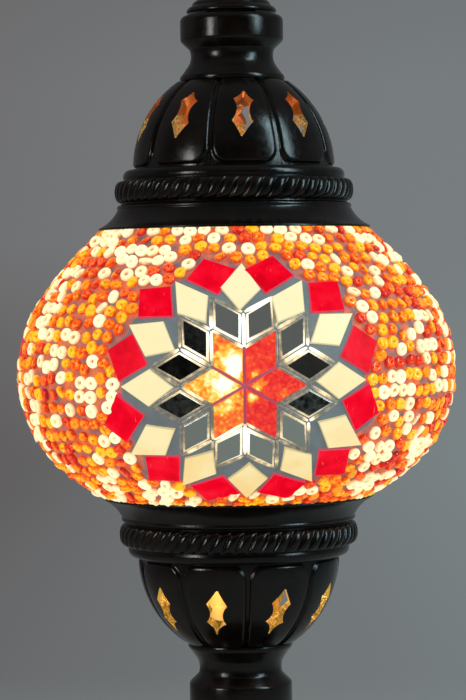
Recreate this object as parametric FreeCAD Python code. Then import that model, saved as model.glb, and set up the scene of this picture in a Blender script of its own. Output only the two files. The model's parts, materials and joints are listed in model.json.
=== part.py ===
"""Mosaic glass table lamp: cast metal foot, stem and bowl, a bead and tile covered glass globe that
lifts off, a cast cap that lifts off the globe, a finial that unscrews, and a lampholder with its bulb.

Millimetres, +Z up. The origin is the middle of the felt's underside, on the lamp's axis.
The front of the lamp faces -Y, and azimuths are counted from there towards +X.
"""

import FreeCAD, Part
import math
import os

# ---- driving dimensions -------------------------------------------------------------------------
EQUATOR_Z = 204.0  # height of the globe's widest ring
GLOBE_R = 82.5  # over the beads
UPPER_RIM_Z = 257.2  # lower edge of the cap's flared ring
LOWER_RIM_Z = 158.3  # upper edge of the bowl's flared ring

# The globe's outline: on each side of the equator an arc, then a flatter arc that ends at the rim.
UPPER_ARC_R, UPPER_ARC_END, UPPER_RIM_R = 49.0, 34.0, 50.4
LOWER_ARC_R, LOWER_ARC_END, LOWER_RIM_R = 47.0, 48.0, 51.2

# Depths below the bead surface, square to it.
TILE_TOP, GROUT_TOP, GLASS_TOP, GLASS_INSIDE = 0.2, 2.2, 3.2, 5.7
NECK_R, NECK_WALL = 42.0, 2.5  # the glass collars that stand inside the flared rings

# The flared ring and the pierced dome are one pattern, used upright in the cap, inverted in the bowl.
# Heights in it are counted from the flared rim.
RING_R, RING_H, RING_WALL = 50.6, 9.4, 1.5
LEDGE_H, LEDGE_R = 6.2, 36.0
SEAT_T = 1.0
DOME_BASE_H, DOME_TOP_H = 22.5, 54.8
DOME_ARC_R, DOME_ARC_X, DOME_WALL = 39.5, -1.8, 2.6
LOBES = 9
CUTOUT_LOW, CUTOUT_HIGH = 15.0, 43.0  # angles along the dome's arc
CAP_TURN, BOWL_TURN = 6.5, -15.0  # azimuth of one cutout in the cap and in the bowl

KNOB_H = 24.6
TUBE_R, TUBE_BORE = 5.0, 3.5  # M10 x 1 threaded tube
STUD_R = 3.0  # M6 stud through the cap
THREAD_TURNS = 6.0  # M6 x 1: millimetres of stud inside the finial
RUN = 0.05  # radial clearance of a thread or running fit

FOOT_R, FOOT_RIM_Z, FOOT_TOP_Z = 62.0, 1.2, 39.5
FOOT_LOBES = 12
FELT_T = 1.8
BUSH_Z, BUSH_R, BUSH_BORE, BUSH_FACE_Y = 10.2, 4.0, 3.1, 58.5

BULB_Z, BULB_R, BULB_LENGTH = 202.0, 22.5, 78.1
HOLDER_Z, HOLDER_MOUTH_Z = 112.0, 163.0

# A rosette: lengths along the globe's surface from its middle.
STAR_SIDE = 12.7  # edge of the rhombi
TILE_GAP, MIRROR_GAP = 0.8, 1.7  # the joints round the red rhombi and round the mirrors
TILE_T = 1.9
CREAM_IN, CREAM_SIDE, CREAM_OUT, CREAM_SPREAD = 26.2, 34.9, 44.8, 10.2
NOTCH_OUT = 2.3  # how much further out every second cream tile sits
RED_IN, RED_SIDE, RED_OUT, RED_SPREAD = 35.8, 44.8, 51.4, 10.8
ROSETTE_Z, ROSETTE_TURN, ROSETTES = -2.0, 2.0, 3  # height from the equator, azimuth, how many
WINDOW_HALF_W, WINDOW_UP, WINDOW_DOWN = 52.4, 45.8, 42.8  # the window for it in the bead layer
WINDOW_CORNER_X, WINDOW_CORNER_UP, WINDOW_CORNER_DOWN = 37.2, 35.6, 34.4

POLE = 86  # a round top's arc stops at this angle, at a small flat on the axis

V = FreeCAD.Vector
UP = V(0, 0, 1)


# ---- helpers ------------------------------------------------------------------------------------
def arc(centre, radius, start, end):
    """An arc's middle and end point, for turned(); angles in degrees in the (r, z) plane."""
    def at(angle):
        a = math.radians(angle)
        return (centre[0] + radius * math.cos(a), centre[1] + radius * math.sin(a))
    return (at((start + end) / 2), at(end))


def edges(points, to_3d):
    """Edges through a closed outline. A point is (a, b); an arc is ((a, b) on it, (a, b) at its end)."""
    out = []
    here = to_3d(*points[0])
    for step in list(points[1:]) + [points[0]]:
        if isinstance(step[0], tuple):
            end = to_3d(*step[1])
            out.append(Part.Arc(here, to_3d(*step[0]), end).toShape())
        else:
            end = to_3d(*step)
            if end.distanceToPoint(here) > 1e-6:
                out.append(Part.LineSegment(here, end).toShape())
        here = end
    return out


def turned(*points):
    """The solid swept by a closed (r, z) outline round the Z axis."""
    face = Part.Face(Part.Wire(edges(points, lambda r, z: V(r, 0, z))))
    return face.revolve(V(0, 0, 0), UP, 360)


def tube(outer, inner, low, high):
    return turned((inner, low), (outer, low), (outer, high), (inner, high))


def rod(radius, low, high):
    return Part.makeCylinder(radius, high - low, V(0, 0, low), UP)


def hex_nut(across_flats, bore, low, high):
    r = across_flats / math.sqrt(3)
    turns = [math.radians(60 * i) for i in range(7)]
    corners = [V(r * math.cos(a), r * math.sin(a), low) for a in turns]
    prism = Part.Face(Part.makePolygon(corners)).extrude(V(0, 0, high - low))
    crown = turned((0, low), (r - 0.5, low), (r, low + 0.4), (r, high - 0.4), (r - 0.5, high), (0, high))
    return prism.common(crown).cut(rod(bore, low - 1, high + 1))


def around(shape, count, first=0.0):
    """Copies of a shape spaced evenly round the Z axis; first is an azimuth."""
    out = []
    for i in range(count):
        copy = shape.copy()
        copy.rotate(V(0, 0, 0), UP, first + 360.0 * i / count)
        out.append(copy)
    return out


def placed_up(shape, z):
    shape = shape.copy()
    shape.translate(V(0, 0, z))
    return shape


def placed_down(shape, z):
    shape = shape.copy()
    shape.rotate(V(0, 0, 0), V(0, 1, 0), 180)
    shape.translate(V(0, 0, z))
    return shape


# ---- the globe ----------------------------------------------------------------------------------
def globe_half(radius, end_angle, rim_r, rim_dz, side):
    """The two arcs of one half as (centre, radius) pairs; side is +1 above the equator, -1 below."""
    first = ((GLOBE_R - radius, EQUATOR_Z), radius)
    a = math.radians(end_angle)
    normal = (math.cos(a), side * math.sin(a))
    meet = (first[0][0] + radius * normal[0], EQUATOR_Z + radius * normal[1])
    d = (rim_r - meet[0], EQUATOR_Z + rim_dz - meet[1])
    flat = -(d[0] ** 2 + d[1] ** 2) / (2 * (d[0] * normal[0] + d[1] * normal[1]))
    return first, ((meet[0] - flat * normal[0], meet[1] - flat * normal[1]), flat)


UPPER = globe_half(UPPER_ARC_R, UPPER_ARC_END, UPPER_RIM_R, UPPER_RIM_Z - EQUATOR_Z, 1)
LOWER = globe_half(LOWER_ARC_R, LOWER_ARC_END, LOWER_RIM_R, LOWER_RIM_Z - EQUATOR_Z, -1)


def globe_r(z, depth):
    """Radius of the surface at a depth below the beads, at height z."""
    side, end = (1, UPPER_ARC_END) if z >= EQUATOR_Z else (-1, LOWER_ARC_END)
    first, second = UPPER if side > 0 else LOWER
    join = EQUATOR_Z + side * (first[1] - depth) * math.sin(math.radians(end))
    centre, radius = first if (z - join) * side <= 0 else second
    return centre[0] + math.sqrt((radius - depth) ** 2 - (z - centre[1]) ** 2)


def globe_z(r, depth, side):
    centre, radius = (UPPER if side > 0 else LOWER)[1]
    return centre[1] + side * math.sqrt((radius - depth) ** 2 - (r - centre[0]) ** 2)


def globe_curve(depth, low, high):
    """Outline steps up the surface at a depth, from height low to height high."""
    points = []
    low_join = EQUATOR_Z - (LOWER_ARC_R - depth) * math.sin(math.radians(LOWER_ARC_END))
    high_join = EQUATOR_Z + (UPPER_ARC_R - depth) * math.sin(math.radians(UPPER_ARC_END))
    for start, end in ((low, low_join), (low_join, EQUATOR_Z), (EQUATOR_Z, high_join), (high_join, high)):
        middle = (start + end) / 2
        points.append(((globe_r(middle, depth), middle), (globe_r(end, depth), end)))
    return points


def reverse(start, steps):
    """The same outline walked the other way: returns its first point and the steps after it."""
    ends = [start] + [s[1] for s in steps]
    middles = [s[0] for s in steps]
    back = [(middles[i], ends[i]) for i in range(len(steps) - 1, -1, -1)]
    return ends[-1], back


def globe_layer(outer, inner, low, high):
    outside = globe_curve(outer, low, high)
    top, back = reverse((globe_r(low, inner), low), globe_curve(inner, low, high))
    return turned((globe_r(low, outer), low), *outside, top, *back)


def globe_glass():
    low, high = LOWER_RIM_Z - LEDGE_H + SEAT_T, UPPER_RIM_Z + LEDGE_H - SEAT_T
    inner_r = NECK_R - NECK_WALL
    low_out, high_out = globe_z(NECK_R, GLASS_TOP, -1), globe_z(NECK_R, GLASS_TOP, 1)
    low_in, high_in = globe_z(inner_r, GLASS_INSIDE, -1), globe_z(inner_r, GLASS_INSIDE, 1)
    outside = globe_curve(GLASS_TOP, low_out, high_out)
    top, back = reverse((inner_r, low_in), globe_curve(GLASS_INSIDE, low_in, high_in))
    return turned((inner_r, low), (NECK_R, low), (NECK_R, low_out), *outside,
                  (NECK_R, high), (inner_r, high), top, *back)


SKIN_LOW, SKIN_HIGH = LOWER_RIM_Z + 0.15, UPPER_RIM_Z - 0.15


def globe_grout():
    return globe_layer(GROUT_TOP, GLASS_TOP, SKIN_LOW, SKIN_HIGH)


def bead_field():
    """The layer that the loose beads fill, with a window for each rosette."""
    layer = globe_layer(0.0, GROUT_TOP, SKIN_LOW, SKIN_HIGH)
    outline = [
        (WINDOW_HALF_W, 0),
        ((WINDOW_CORNER_X, WINDOW_CORNER_UP), (0, WINDOW_UP)),
        ((-WINDOW_CORNER_X, WINDOW_CORNER_UP), (-WINDOW_HALF_W, 0)),
        ((-WINDOW_CORNER_X, -WINDOW_CORNER_DOWN), (0, -WINDOW_DOWN)),
        ((WINDOW_CORNER_X, -WINDOW_CORNER_DOWN), (WINDOW_HALF_W, 0)),
    ]
    window = Part.Face(Part.Wire(edges(
        outline, lambda x, z: V(x, -2 * GLOBE_R, EQUATOR_Z + ROSETTE_Z + z),
    ))).extrude(V(0, 2 * GLOBE_R, 0))
    return layer.cut(around(window, ROSETTES, ROSETTE_TURN))


def on_globe(u, v):
    """The point of the grout's surface u mm right of a rosette's middle and v mm up from it, measured
    along the surface, for the rosette that faces -Y."""
    z, left, step = EQUATOR_Z + ROSETTE_Z, abs(v), math.copysign(0.25, v)
    while left > 0:
        length = math.hypot(step, globe_r(z + step, GROUT_TOP) - globe_r(z, GROUT_TOP))
        z += step * min(1, left / length)
        left -= length
    r = globe_r(z, GROUT_TOP)
    return V(r * math.sin(u / r), -r * math.cos(u / r), z)


def tile(corners, gap):
    """One flat glass tile, cut back by half a joint all round and laid on the grout."""
    cx = sum(c[0] for c in corners) / len(corners)
    cy = sum(c[1] for c in corners) / len(corners)
    reach = min(edge_distance((cx, cy), corners[i - 1], corners[i]) for i in range(len(corners)))
    keep = 1 - gap / 2 / reach
    middle = on_globe(cx, cy)
    across = on_globe(cx + 1, cy) - on_globe(cx - 1, cy)
    along = on_globe(cx, cy + 1) - on_globe(cx, cy - 1)
    normal = across.cross(along).normalize()
    base = middle + normal * 0.02
    points = []
    for x, y in corners:
        p = on_globe(cx + (x - cx) * keep, cy + (y - cy) * keep)
        points.append(p - normal * (p - base).dot(normal))
    return Part.Face(Part.makePolygon(points + points[:1])).extrude(normal * TILE_T)


def edge_distance(p, a, b):
    length = math.hypot(b[0] - a[0], b[1] - a[1])
    return abs((b[0] - a[0]) * (a[1] - p[1]) - (a[0] - p[0]) * (b[1] - a[1])) / length


def rosette_plan():
    """For each group of tiles, the joint round a tile and the tiles' corners in mm from the middle."""
    side, tip = STAR_SIDE, STAR_SIDE * math.sqrt(3)

    def at(radius, angle):
        return (radius * math.cos(math.radians(angle)), radius * math.sin(math.radians(angle)))

    def plus(a, b):
        return (a[0] + b[0], a[1] + b[1])

    def kite(inside, beside, outside, spread, angle):
        return [at(inside, angle), at(beside, angle + spread), at(outside, angle), at(beside, angle - spread)]

    star, mirror, cream, red = [], [], [], []
    for i in range(6):
        angle = 60 * i
        star.append([(0, 0), at(side, angle - 30), at(tip, angle), at(side, angle + 30)])
        edge = at(side, angle + 30)
        for point in (at(tip, angle), at(tip, angle + 60)):
            mirror.append([edge, point, plus(point, edge), plus(edge, edge)])
    for i in range(12):
        shift = NOTCH_OUT * (i % 2)
        cream.append(kite(CREAM_IN + shift, CREAM_SIDE + shift, CREAM_OUT + shift, CREAM_SPREAD, 30 * i))
        red.append(kite(RED_IN, RED_SIDE, RED_OUT, RED_SPREAD, 30 * i + 15))
    return {
        "tiles_star_red": (TILE_GAP, star),
        "tiles_mirror": (MIRROR_GAP, mirror),
        "tiles_cream": (0, cream),
        "tiles_outer_red": (0, red),
    }


def rosette_tiles(gap, corner_lists):
    out = []
    for corners in corner_lists:
        out += around(tile(corners, gap), ROSETTES, ROSETTE_TURN)
    return Part.makeCompound(out)


# ---- the flared ring and the pierced dome, as cast ------------------------------------------------
def flared_ring():
    wall = RING_WALL
    return turned(
        (RING_R - wall, 0), (RING_R, 0), (RING_R, 0.8),
        ((45.6, 4.6), (43.2, RING_H - 1.0)), (42.4, RING_H),
        (LEDGE_R, RING_H), (LEDGE_R, LEDGE_H), (44.4 - wall, LEDGE_H),
        ((46.0 - wall, 3.6), (RING_R - wall, 0)),
    )


def seat_ring():
    return tube(NECK_R + 0.4, LEDGE_R + 2.0, LEDGE_H - SEAT_T, LEDGE_H)


def pierced_dome():
    centre, wall = (DOME_ARC_X, DOME_BASE_H), DOME_WALL
    roof = math.degrees(math.asin((DOME_TOP_H - DOME_BASE_H) / DOME_ARC_R))
    ceiling_h = DOME_TOP_H - 3.0
    inside = math.degrees(math.asin((ceiling_h - DOME_BASE_H) / (DOME_ARC_R - wall)))
    shell = turned(
        (LEDGE_R, RING_H), (42.4, RING_H), (42.4, 10.2),
        ((44.6, 14.2), (42.6, 18.2)), (41.0, 18.4),
        ((41.2, 20.4), (39.9, 22.3)), (DOME_ARC_X + DOME_ARC_R, DOME_BASE_H),
        arc(centre, DOME_ARC_R, 0, roof), (STUD_R + 2.3, DOME_TOP_H), (STUD_R + 2.3, ceiling_h),
        (DOME_ARC_X + (DOME_ARC_R - wall) * math.cos(math.radians(inside)), ceiling_h),
        arc(centre, DOME_ARC_R - wall, inside, 0), (LEDGE_R, DOME_BASE_H - 2.0),
    )
    hub = V(DOME_ARC_X, 0, DOME_BASE_H)
    valley = Part.makeCircle(1.7, hub + V(DOME_ARC_R + 0.9, 0, 0), UP)
    valley = Part.Face(Part.Wire(valley)).revolve(hub, V(0, -1, 0), 50)
    valley.rotate(hub, V(0, -1, 0), 4)
    tools = around(valley, LOBES, 180.0 / LOBES - 90.0) + around(cutout(), LOBES, -90.0)
    return shell.cut(tools)


def cutout():
    """The tool for one window in the dome's wall, at azimuth +X, square to the dome."""
    tilt = math.radians((CUTOUT_LOW + CUTOUT_HIGH) / 2)
    half = DOME_ARC_R * math.radians(CUTOUT_HIGH - CUTOUT_LOW) / 2
    out = V(math.cos(tilt), 0, math.sin(tilt))
    up = V(-math.sin(tilt), 0, math.cos(tilt))
    middle = V(DOME_ARC_X, 0, DOME_BASE_H) + out * (DOME_ARC_R - 8.0)
    cusp, waist = 3.9, 2.4
    right = [
        (0, half), ((1.3, half * 0.72), (cusp - 0.3, half * 0.58)),
        ((waist, half * 0.14), (cusp, -half * 0.32)), ((1.9, -half * 0.66), (0, -half)),
    ]
    left = [
        ((-1.9, -half * 0.66), (-cusp, -half * 0.32)), ((-waist, half * 0.14), (-cusp + 0.3, half * 0.58)),
        ((-1.3, half * 0.72), (0, half)),
    ]
    outline = edges(right + left, lambda x, y: middle + V(0, 1, 0) * x + up * y)
    return Part.Face(Part.Wire(outline)).extrude(out * 16)


def knob():
    """Collar, neck and ring in one casting, hollow from the collar's side. Heights from the collar."""
    return turned(
        (STUD_R + 2.3, KNOB_H), (STUD_R + 2.3, KNOB_H - 4.0), (11.0, KNOB_H - 4.0), (11.0, 3.0), (14.0, 0),
        (19.3, 0), ((19.6, 1.4), (18.7, 2.8)), (16.8, 5.4),
        ((15.4, 8.8), (15.8, 12.0)), (18.8, 14.9), ((19.1, 15.4), (19.2, 16.0)), (19.2, 22.4),
        arc((17.0, 22.4), 2.2, 0, 90),
    )


def ring_rivets():
    """Three rivets that hold the flared ring to the dome, heads on the ledge, inside the neck."""
    rivet = turned((0, LEDGE_H - 0.9), (1.6, LEDGE_H - 0.9), (1.6, LEDGE_H - 0.1), (0, LEDGE_H - 0.1))
    rivet.translate(V(LEDGE_R + 0.2, 0, 0))
    return Part.makeCompound(around(rivet, 3, 30.0))


# ---- foot and stem --------------------------------------------------------------------------------
def foot_casting():
    shell = turned(
        (FOOT_R - 3.6, FOOT_RIM_Z), (FOOT_R, FOOT_RIM_Z), (FOOT_R, 2.6), ((61.8, 3.6), (60.8, 4.0)),
        ((56.6, 6.0), (54.2, 10.0)), (53.6, 10.8),
        ((55.8, 14.6), (53.6, 18.4)), (52.4, 18.6), ((52.4, 20.8), (50.4, 22.4)), (48.4, 22.8),
        ((39.6, 33.4), (21.0, 37.4)), (20.0, FOOT_TOP_Z), (TUBE_R + 0.3, FOOT_TOP_Z), (TUBE_R + 0.3, 35.0),
        (19.0, 34.6), ((37.0, 30.8), (45.4, 21.6)), (50.2, 18.0), (50.6, 9.6),
        ((54.2, 5.0), (56.4, 3.0)), (FOOT_R - 3.6, 3.0),
    )
    boss = Part.makeCylinder(6.5, BUSH_FACE_Y - 46.0, V(0, 46.0, BUSH_Z), V(0, 1, 0))
    shell = shell.fuse(boss)
    bush_hole = Part.makeCylinder(BUSH_R + RUN, 40, V(0, 40, BUSH_Z), V(0, 1, 0))
    return shell.cut(around(foot_valley(), FOOT_LOBES, 180.0 / FOOT_LOBES - 90.0) + [bush_hole])


def foot_valley():
    """A round groove that follows the foot's dome at azimuth +X."""
    path = Part.Arc(V(47.6, 0, 24.6), V(39.9, 0, 33.9), V(24.0, 0, 37.6)).toShape()
    start = path.FirstParameter
    profile = Part.Wire(Part.makeCircle(1.5, path.valueAt(start), path.tangentAt(start)))
    return Part.Wire(path).makePipeShell([profile], True, False)


def base_plate():
    return turned(
        (57.8, FELT_T), (57.8, 3.0), (24.0, 3.0), (20.0, 9.2), (TUBE_R + 0.3, 9.2), (TUBE_R + 0.3, 8.0),
        (19.3, 8.0), (23.3, FELT_T),
    )


def base_felt():
    return tube(57.4, 23.4, 0, FELT_T)


def cord_bush():
    body = Part.makeCylinder(BUSH_R, 14.0, V(0, BUSH_FACE_Y - 14.0, BUSH_Z), V(0, 1, 0))
    flange = Part.makeCylinder(5.0, 1.5, V(0, BUSH_FACE_Y, BUSH_Z), V(0, 1, 0))
    hole = Part.makeCylinder(BUSH_BORE, 30, V(0, BUSH_FACE_Y - 20.0, BUSH_Z), V(0, 1, 0))
    return body.fuse(flange).removeSplitter().cut(hole)


def stem_baluster(low, high):
    bore = TUBE_R + 0.3
    return turned(
        (bore, low), (16.0, low), ((16.8, low + 1.6), (15.2, low + 3.2)), (12.2, low + 4.0),
        ((10.6, low + 7.0), (12.4, low + 10.0)), ((17.4, low + 18.0), (11.4, low + 26.4)),
        ((9.2, low + 29.6), (9.8, low + 31.6)), (12.0, low + 32.0), ((13.4, low + 33.2), (12.4, low + 34.6)),
        (12.4, high - 4.6), (14.6, high - 4.2), (15.0, high - 2.4), (16.8, high - 2.0), (17.4, high),
        (bore, high),
    )


# ---- finial ---------------------------------------------------------------------------------------
def finial_spire(z):
    depth = THREAD_TURNS + 1.0
    ball = arc((0, z + 40.6), 2.4, -40, POLE)
    return turned(
        (STUD_R + RUN, z), (17.4, z), (17.6, z + 0.8), (16.8, z + 1.8), (15.6, z + 2.2), (15.2, z + 3.6),
        (14.4, z + 4.2), (13.2, z + 4.6), (12.4, z + 6.4), ((9.4, z + 8.0), (7.2, z + 11.4)),
        (6.6, z + 12.0), ((8.8, z + 13.6), (6.6, z + 15.2)), (5.6, z + 15.8),
        ((10.6, z + 22.4), (5.6, z + 30.0)), ((2.6, z + 34.4), (1.8, z + 39.0)),
        ball, (0, ball[1][1]), (0, z + depth), (STUD_R + RUN, z + depth),
    )


# ---- lampholder and bulb ----------------------------------------------------------------------------
def holder_cap():
    return turned(
        (TUBE_R + RUN, HOLDER_Z), (9.0, HOLDER_Z), ((13.4, HOLDER_Z + 1.6), (14.4, HOLDER_Z + 6.0)),
        (14.4, HOLDER_Z + 15.0), (12.6, HOLDER_Z + 15.0), (12.6, HOLDER_Z + 7.0),
        (TUBE_R + RUN, HOLDER_Z + 4.0),
    )


def holder_body():
    low = HOLDER_Z + 15.0
    return turned(
        (12.6, low), (14.4, low), (14.4, low + 1.2), (13.6, low + 2.0), (12.6, HOLDER_MOUTH_Z - 0.6),
        (12.0, HOLDER_MOUTH_Z), (10.0, HOLDER_MOUTH_Z), (10.0, HOLDER_MOUTH_Z - 1.6),
        (11.0, HOLDER_MOUTH_Z - 2.4), (11.8, low + 4.0), (11.8, low + 0.4),
    )


def holder_insert():
    core = tube(11.4, 1.7, 122.6, 131.0)
    return core.cut(around(Part.makeBox(6.0, 7.0, 5.0, V(6.6, -3.5, 121.6)), 2))


def holder_shell():
    return turned((4.0, 131.0), (8.3, 131.0), (8.3, 133.0), (7.6, 134.0), (7.6, 160.0), (7.0, 160.0),
                  (7.0, 131.8), (4.0, 131.8))


def holder_contact():
    post = rod(1.6, 124.0, 138.0)
    spring = turned((0, 138.0), (1.6, 138.0), (3.2, 142.0), (2.0, 146.0), (2.0, BULB_LOW), (0, BULB_LOW))
    return post.fuse(spring)


def holder_terminals():
    screw = turned((0, 118.8), (1.9, 118.8), (1.9, 120.6), (1.3, 120.6), (1.3, 125.0), (0, 125.0))
    screw.translate(V(9.0, 0, 0))
    return Part.makeCompound(around(screw, 2))


BULB_LOW = BULB_Z + BULB_R - BULB_LENGTH
CAP_LOW, CAP_TOP = BULB_LOW + 5.0, BULB_LOW + 24.0


def bulb_outline(depth):
    """The envelope's outline at a depth inside its surface, from the cap's top up to the crown."""
    low, join, r = CAP_TOP - 2.0, -62, BULB_R - depth
    meet = arc((0, BULB_Z), r, join, join)[1]
    return low, [((8.2 - depth, (low + meet[1]) / 2 - 1.0), meet), arc((0, BULB_Z), r, join, POLE)]


def bulb_envelope():
    wall = 0.9
    low, outside = bulb_outline(0)
    _, inside = bulb_outline(wall)
    top, back = reverse((6.6 - wall, low), inside)
    return turned((6.6, low), *outside, (0, outside[-1][1][1]), (0, top[1]), top, *back)


def bulb_cap():
    return turned((5.9, CAP_LOW), (6.95, CAP_LOW + 1.2), (6.95, CAP_TOP - 3.0), (8.0, CAP_TOP - 0.6),
                  (8.0, CAP_TOP), (7.4, CAP_TOP), (6.62, CAP_TOP - 2.4), (6.62, CAP_LOW + 2.0),
                  (5.9, CAP_LOW + 1.0))


def bulb_insulator():
    return turned((0, CAP_LOW - 3.0), (2.4, CAP_LOW - 3.0), (5.9, CAP_LOW), (5.9, CAP_LOW + 0.9),
                  (0, CAP_LOW + 0.9))


def bulb_contact():
    return turned((0, BULB_LOW), (1.2, BULB_LOW), ((2.2, BULB_LOW + 0.8), (2.4, CAP_LOW - 3.0)),
                  (0, CAP_LOW - 3.0))


def bulb_stem():
    flare = turned((0, CAP_TOP - 1.0), (5.2, CAP_TOP - 1.0), ((2.6, CAP_TOP + 3.0), (2.0, CAP_TOP + 8.0)),
                   (1.8, BULB_Z - 12.0), (0, BULB_Z - 12.0))
    post = rod(0.5, BULB_Z - 12.5, BULB_Z + 14.0)
    arm = Part.makeCylinder(0.35, 14.0, V(-7.0, 0, 0), V(1, 0, 0))
    top = placed_up(arm, BULB_Z + 13.4)
    low = placed_up(arm, BULB_Z - 13.0)
    return flare.fuse([post, top, low]).removeSplitter()


def bulb_filaments():
    one = rod(0.9, BULB_Z - 12.6, BULB_Z + 13.0)
    one.translate(V(6.2, 0, 0))
    return Part.makeCompound(around(one, 2))


# ---- assembly -------------------------------------------------------------------------------------
def nodes():
    cap_top = UPPER_RIM_Z + DOME_TOP_H
    bowl_low = LOWER_RIM_Z - DOME_TOP_H
    knob_top, ring_low = cap_top + KNOB_H, bowl_low - KNOB_H
    cap_roof, bowl_floor = cap_top - 3.0, bowl_low + 3.0
    washer_t, finial_z = 1.0, knob_top + 1.0
    dome = pierced_dome()

    cap_dome = placed_up(dome, UPPER_RIM_Z)
    cap_dome.rotate(V(0, 0, 0), UP, CAP_TURN)
    bowl_dome = placed_down(dome, LOWER_RIM_Z)
    bowl_dome.rotate(V(0, 0, 0), UP, BOWL_TURN)

    out = {
        # the stand
        "base_felt": base_felt(),
        "base_plate": base_plate(),
        "base_washer": tube(10.0, TUBE_R + 0.2, 7.0, 8.0),
        "base_nut": hex_nut(17.0, TUBE_R + RUN, 3.4, 7.0),
        "foot_casting": foot_casting(),
        "cord_bush": cord_bush(),
        "threaded_tube": tube(TUBE_R, TUBE_BORE, 3.0, 121.0),
        "stem_baluster": stem_baluster(FOOT_TOP_Z, ring_low),
        "stem_knob": placed_down(knob(), bowl_low),
        "bowl_dome": bowl_dome,
        "bowl_ring": placed_down(flared_ring(), LOWER_RIM_Z),
        "bowl_rivets": placed_down(ring_rivets(), LOWER_RIM_Z),
        "bowl_seat": placed_down(seat_ring(), LOWER_RIM_Z),
        "bowl_washer": tube(11.0, TUBE_R + 0.2, bowl_floor, bowl_floor + 1.2),
        "bowl_nut": hex_nut(17.0, TUBE_R + RUN, bowl_floor + 1.2, bowl_floor + 4.8),
        "holder_cap": holder_cap(),
        "holder_body": holder_body(),
        "holder_insert": holder_insert(),
        "holder_shell": holder_shell(),
        "holder_contact": holder_contact(),
        "holder_terminals": holder_terminals(),
        # the globe
        "globe_glass": globe_glass(),
        "globe_grout": globe_grout(),
        "bead_field": bead_field(),
        # the cap
        "cap_ring": placed_up(flared_ring(), UPPER_RIM_Z),
        "cap_seat": placed_up(seat_ring(), UPPER_RIM_Z),
        "cap_rivets": placed_up(ring_rivets(), UPPER_RIM_Z),
        "cap_dome": cap_dome,
        "cap_knob": placed_up(knob(), cap_top),
        "cap_stud": rod(STUD_R, cap_roof - 7.0, finial_z + THREAD_TURNS),
        "cap_washer": tube(8.0, STUD_R + 0.2, cap_roof - 1.2, cap_roof),
        "cap_nut": hex_nut(10.0, STUD_R + RUN, cap_roof - 6.2, cap_roof - 1.2),
        # the finial
        "finial_washer": tube(9.0, STUD_R + 0.08, knob_top, knob_top + washer_t),
        "finial_spire": finial_spire(finial_z),
        # the bulb
        "bulb_envelope": bulb_envelope(),
        "bulb_cap": bulb_cap(),
        "bulb_insulator": bulb_insulator(),
        "bulb_contact": bulb_contact(),
        "bulb_stem": bulb_stem(),
        "bulb_filaments": bulb_filaments(),
    }
    for name, (gap, corner_lists) in rosette_plan().items():
        out[name] = rosette_tiles(gap, corner_lists)
    return out


def main():
    os.makedirs("parts", exist_ok=True)
    for name, shape in nodes().items():
        solids = shape.Solids
        assert shape.isValid() and solids, name
        shape.exportStep(os.path.join("parts", name + ".step"))
        print(name, len(solids), "solids", round(sum(s.Volume for s in solids)), "mm3")


main()
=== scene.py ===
"""Mosaic glass table lamp: its looks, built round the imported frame.

Shapes are worked out in millimetres in the frame's axes and turned into metres when a mesh is made.
Azimuths are counted from -Y, where the front rosette faces, towards +X.
"""

import json
import math
import random

import bmesh
import bpy
import numpy as np
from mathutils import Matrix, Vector, kdtree, noise


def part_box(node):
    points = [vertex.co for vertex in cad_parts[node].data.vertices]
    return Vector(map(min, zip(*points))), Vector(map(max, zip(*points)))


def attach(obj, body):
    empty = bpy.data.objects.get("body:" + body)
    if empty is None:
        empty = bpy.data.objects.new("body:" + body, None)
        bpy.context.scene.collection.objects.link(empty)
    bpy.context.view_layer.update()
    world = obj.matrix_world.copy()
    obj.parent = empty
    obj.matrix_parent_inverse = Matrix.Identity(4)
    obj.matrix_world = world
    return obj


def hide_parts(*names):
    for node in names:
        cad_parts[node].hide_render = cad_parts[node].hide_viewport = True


MM = 0.001
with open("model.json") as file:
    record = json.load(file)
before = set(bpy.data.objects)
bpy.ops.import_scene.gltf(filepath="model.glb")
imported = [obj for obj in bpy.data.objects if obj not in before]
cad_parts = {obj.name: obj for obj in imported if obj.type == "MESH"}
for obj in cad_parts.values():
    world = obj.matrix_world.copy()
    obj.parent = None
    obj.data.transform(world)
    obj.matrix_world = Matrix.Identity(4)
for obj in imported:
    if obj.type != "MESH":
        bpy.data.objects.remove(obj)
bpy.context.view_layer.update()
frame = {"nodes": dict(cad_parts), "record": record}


def low(node):
    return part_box(node)[0].z / MM


def high(node):
    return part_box(node)[1].z / MM


def reach(node):
    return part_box(node)[1].x / MM


# ---- driving dimensions, in mm and degrees, as in the CAD where it has them -----------------------
EQUATOR_Z, GLOBE_R = 204.0, reach("bead_field")
UPPER_RIM_Z, LOWER_RIM_Z = low("cap_ring"), high("bowl_ring")
UPPER_ARC_R, UPPER_ARC_END, UPPER_RIM_R = 49.0, 34.0, 50.4
LOWER_ARC_R, LOWER_ARC_END, LOWER_RIM_R = 47.0, 48.0, 51.2
GROUT_TOP, GLASS_TOP = 2.2, 3.2
SKIN_LOW, SKIN_HIGH = LOWER_RIM_Z + 0.15, UPPER_RIM_Z - 0.15

RING_R, RING_H, RING_WALL = reach("cap_ring"), 9.4, 1.5
LEDGE_H, LEDGE_R = 6.2, 36.0
DOME_BASE_H, DOME_TOP_H = 22.5, high("cap_dome") - UPPER_RIM_Z
DOME_ARC_R, DOME_ARC_X, DOME_WALL = 39.5, -1.8, 2.6
DOME_HOLE_R = 5.3
LOBES, CUTOUT_LOW, CUTOUT_HIGH = 9, 15.0, 43.0
CAP_TURN, BOWL_TURN = 6.5, -15.0
# Each rope's base radius, middle height, half height and number of strands.
DOME_ROPE, FOOT_ROPE = (42.1, 14.2, 4.0, 58), (53.2, 14.6, 3.8, 72)
KNOB_H = high("cap_knob") - low("cap_knob")
FOOT_R, FOOT_LOBES = reach("foot_casting"), 12

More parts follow.
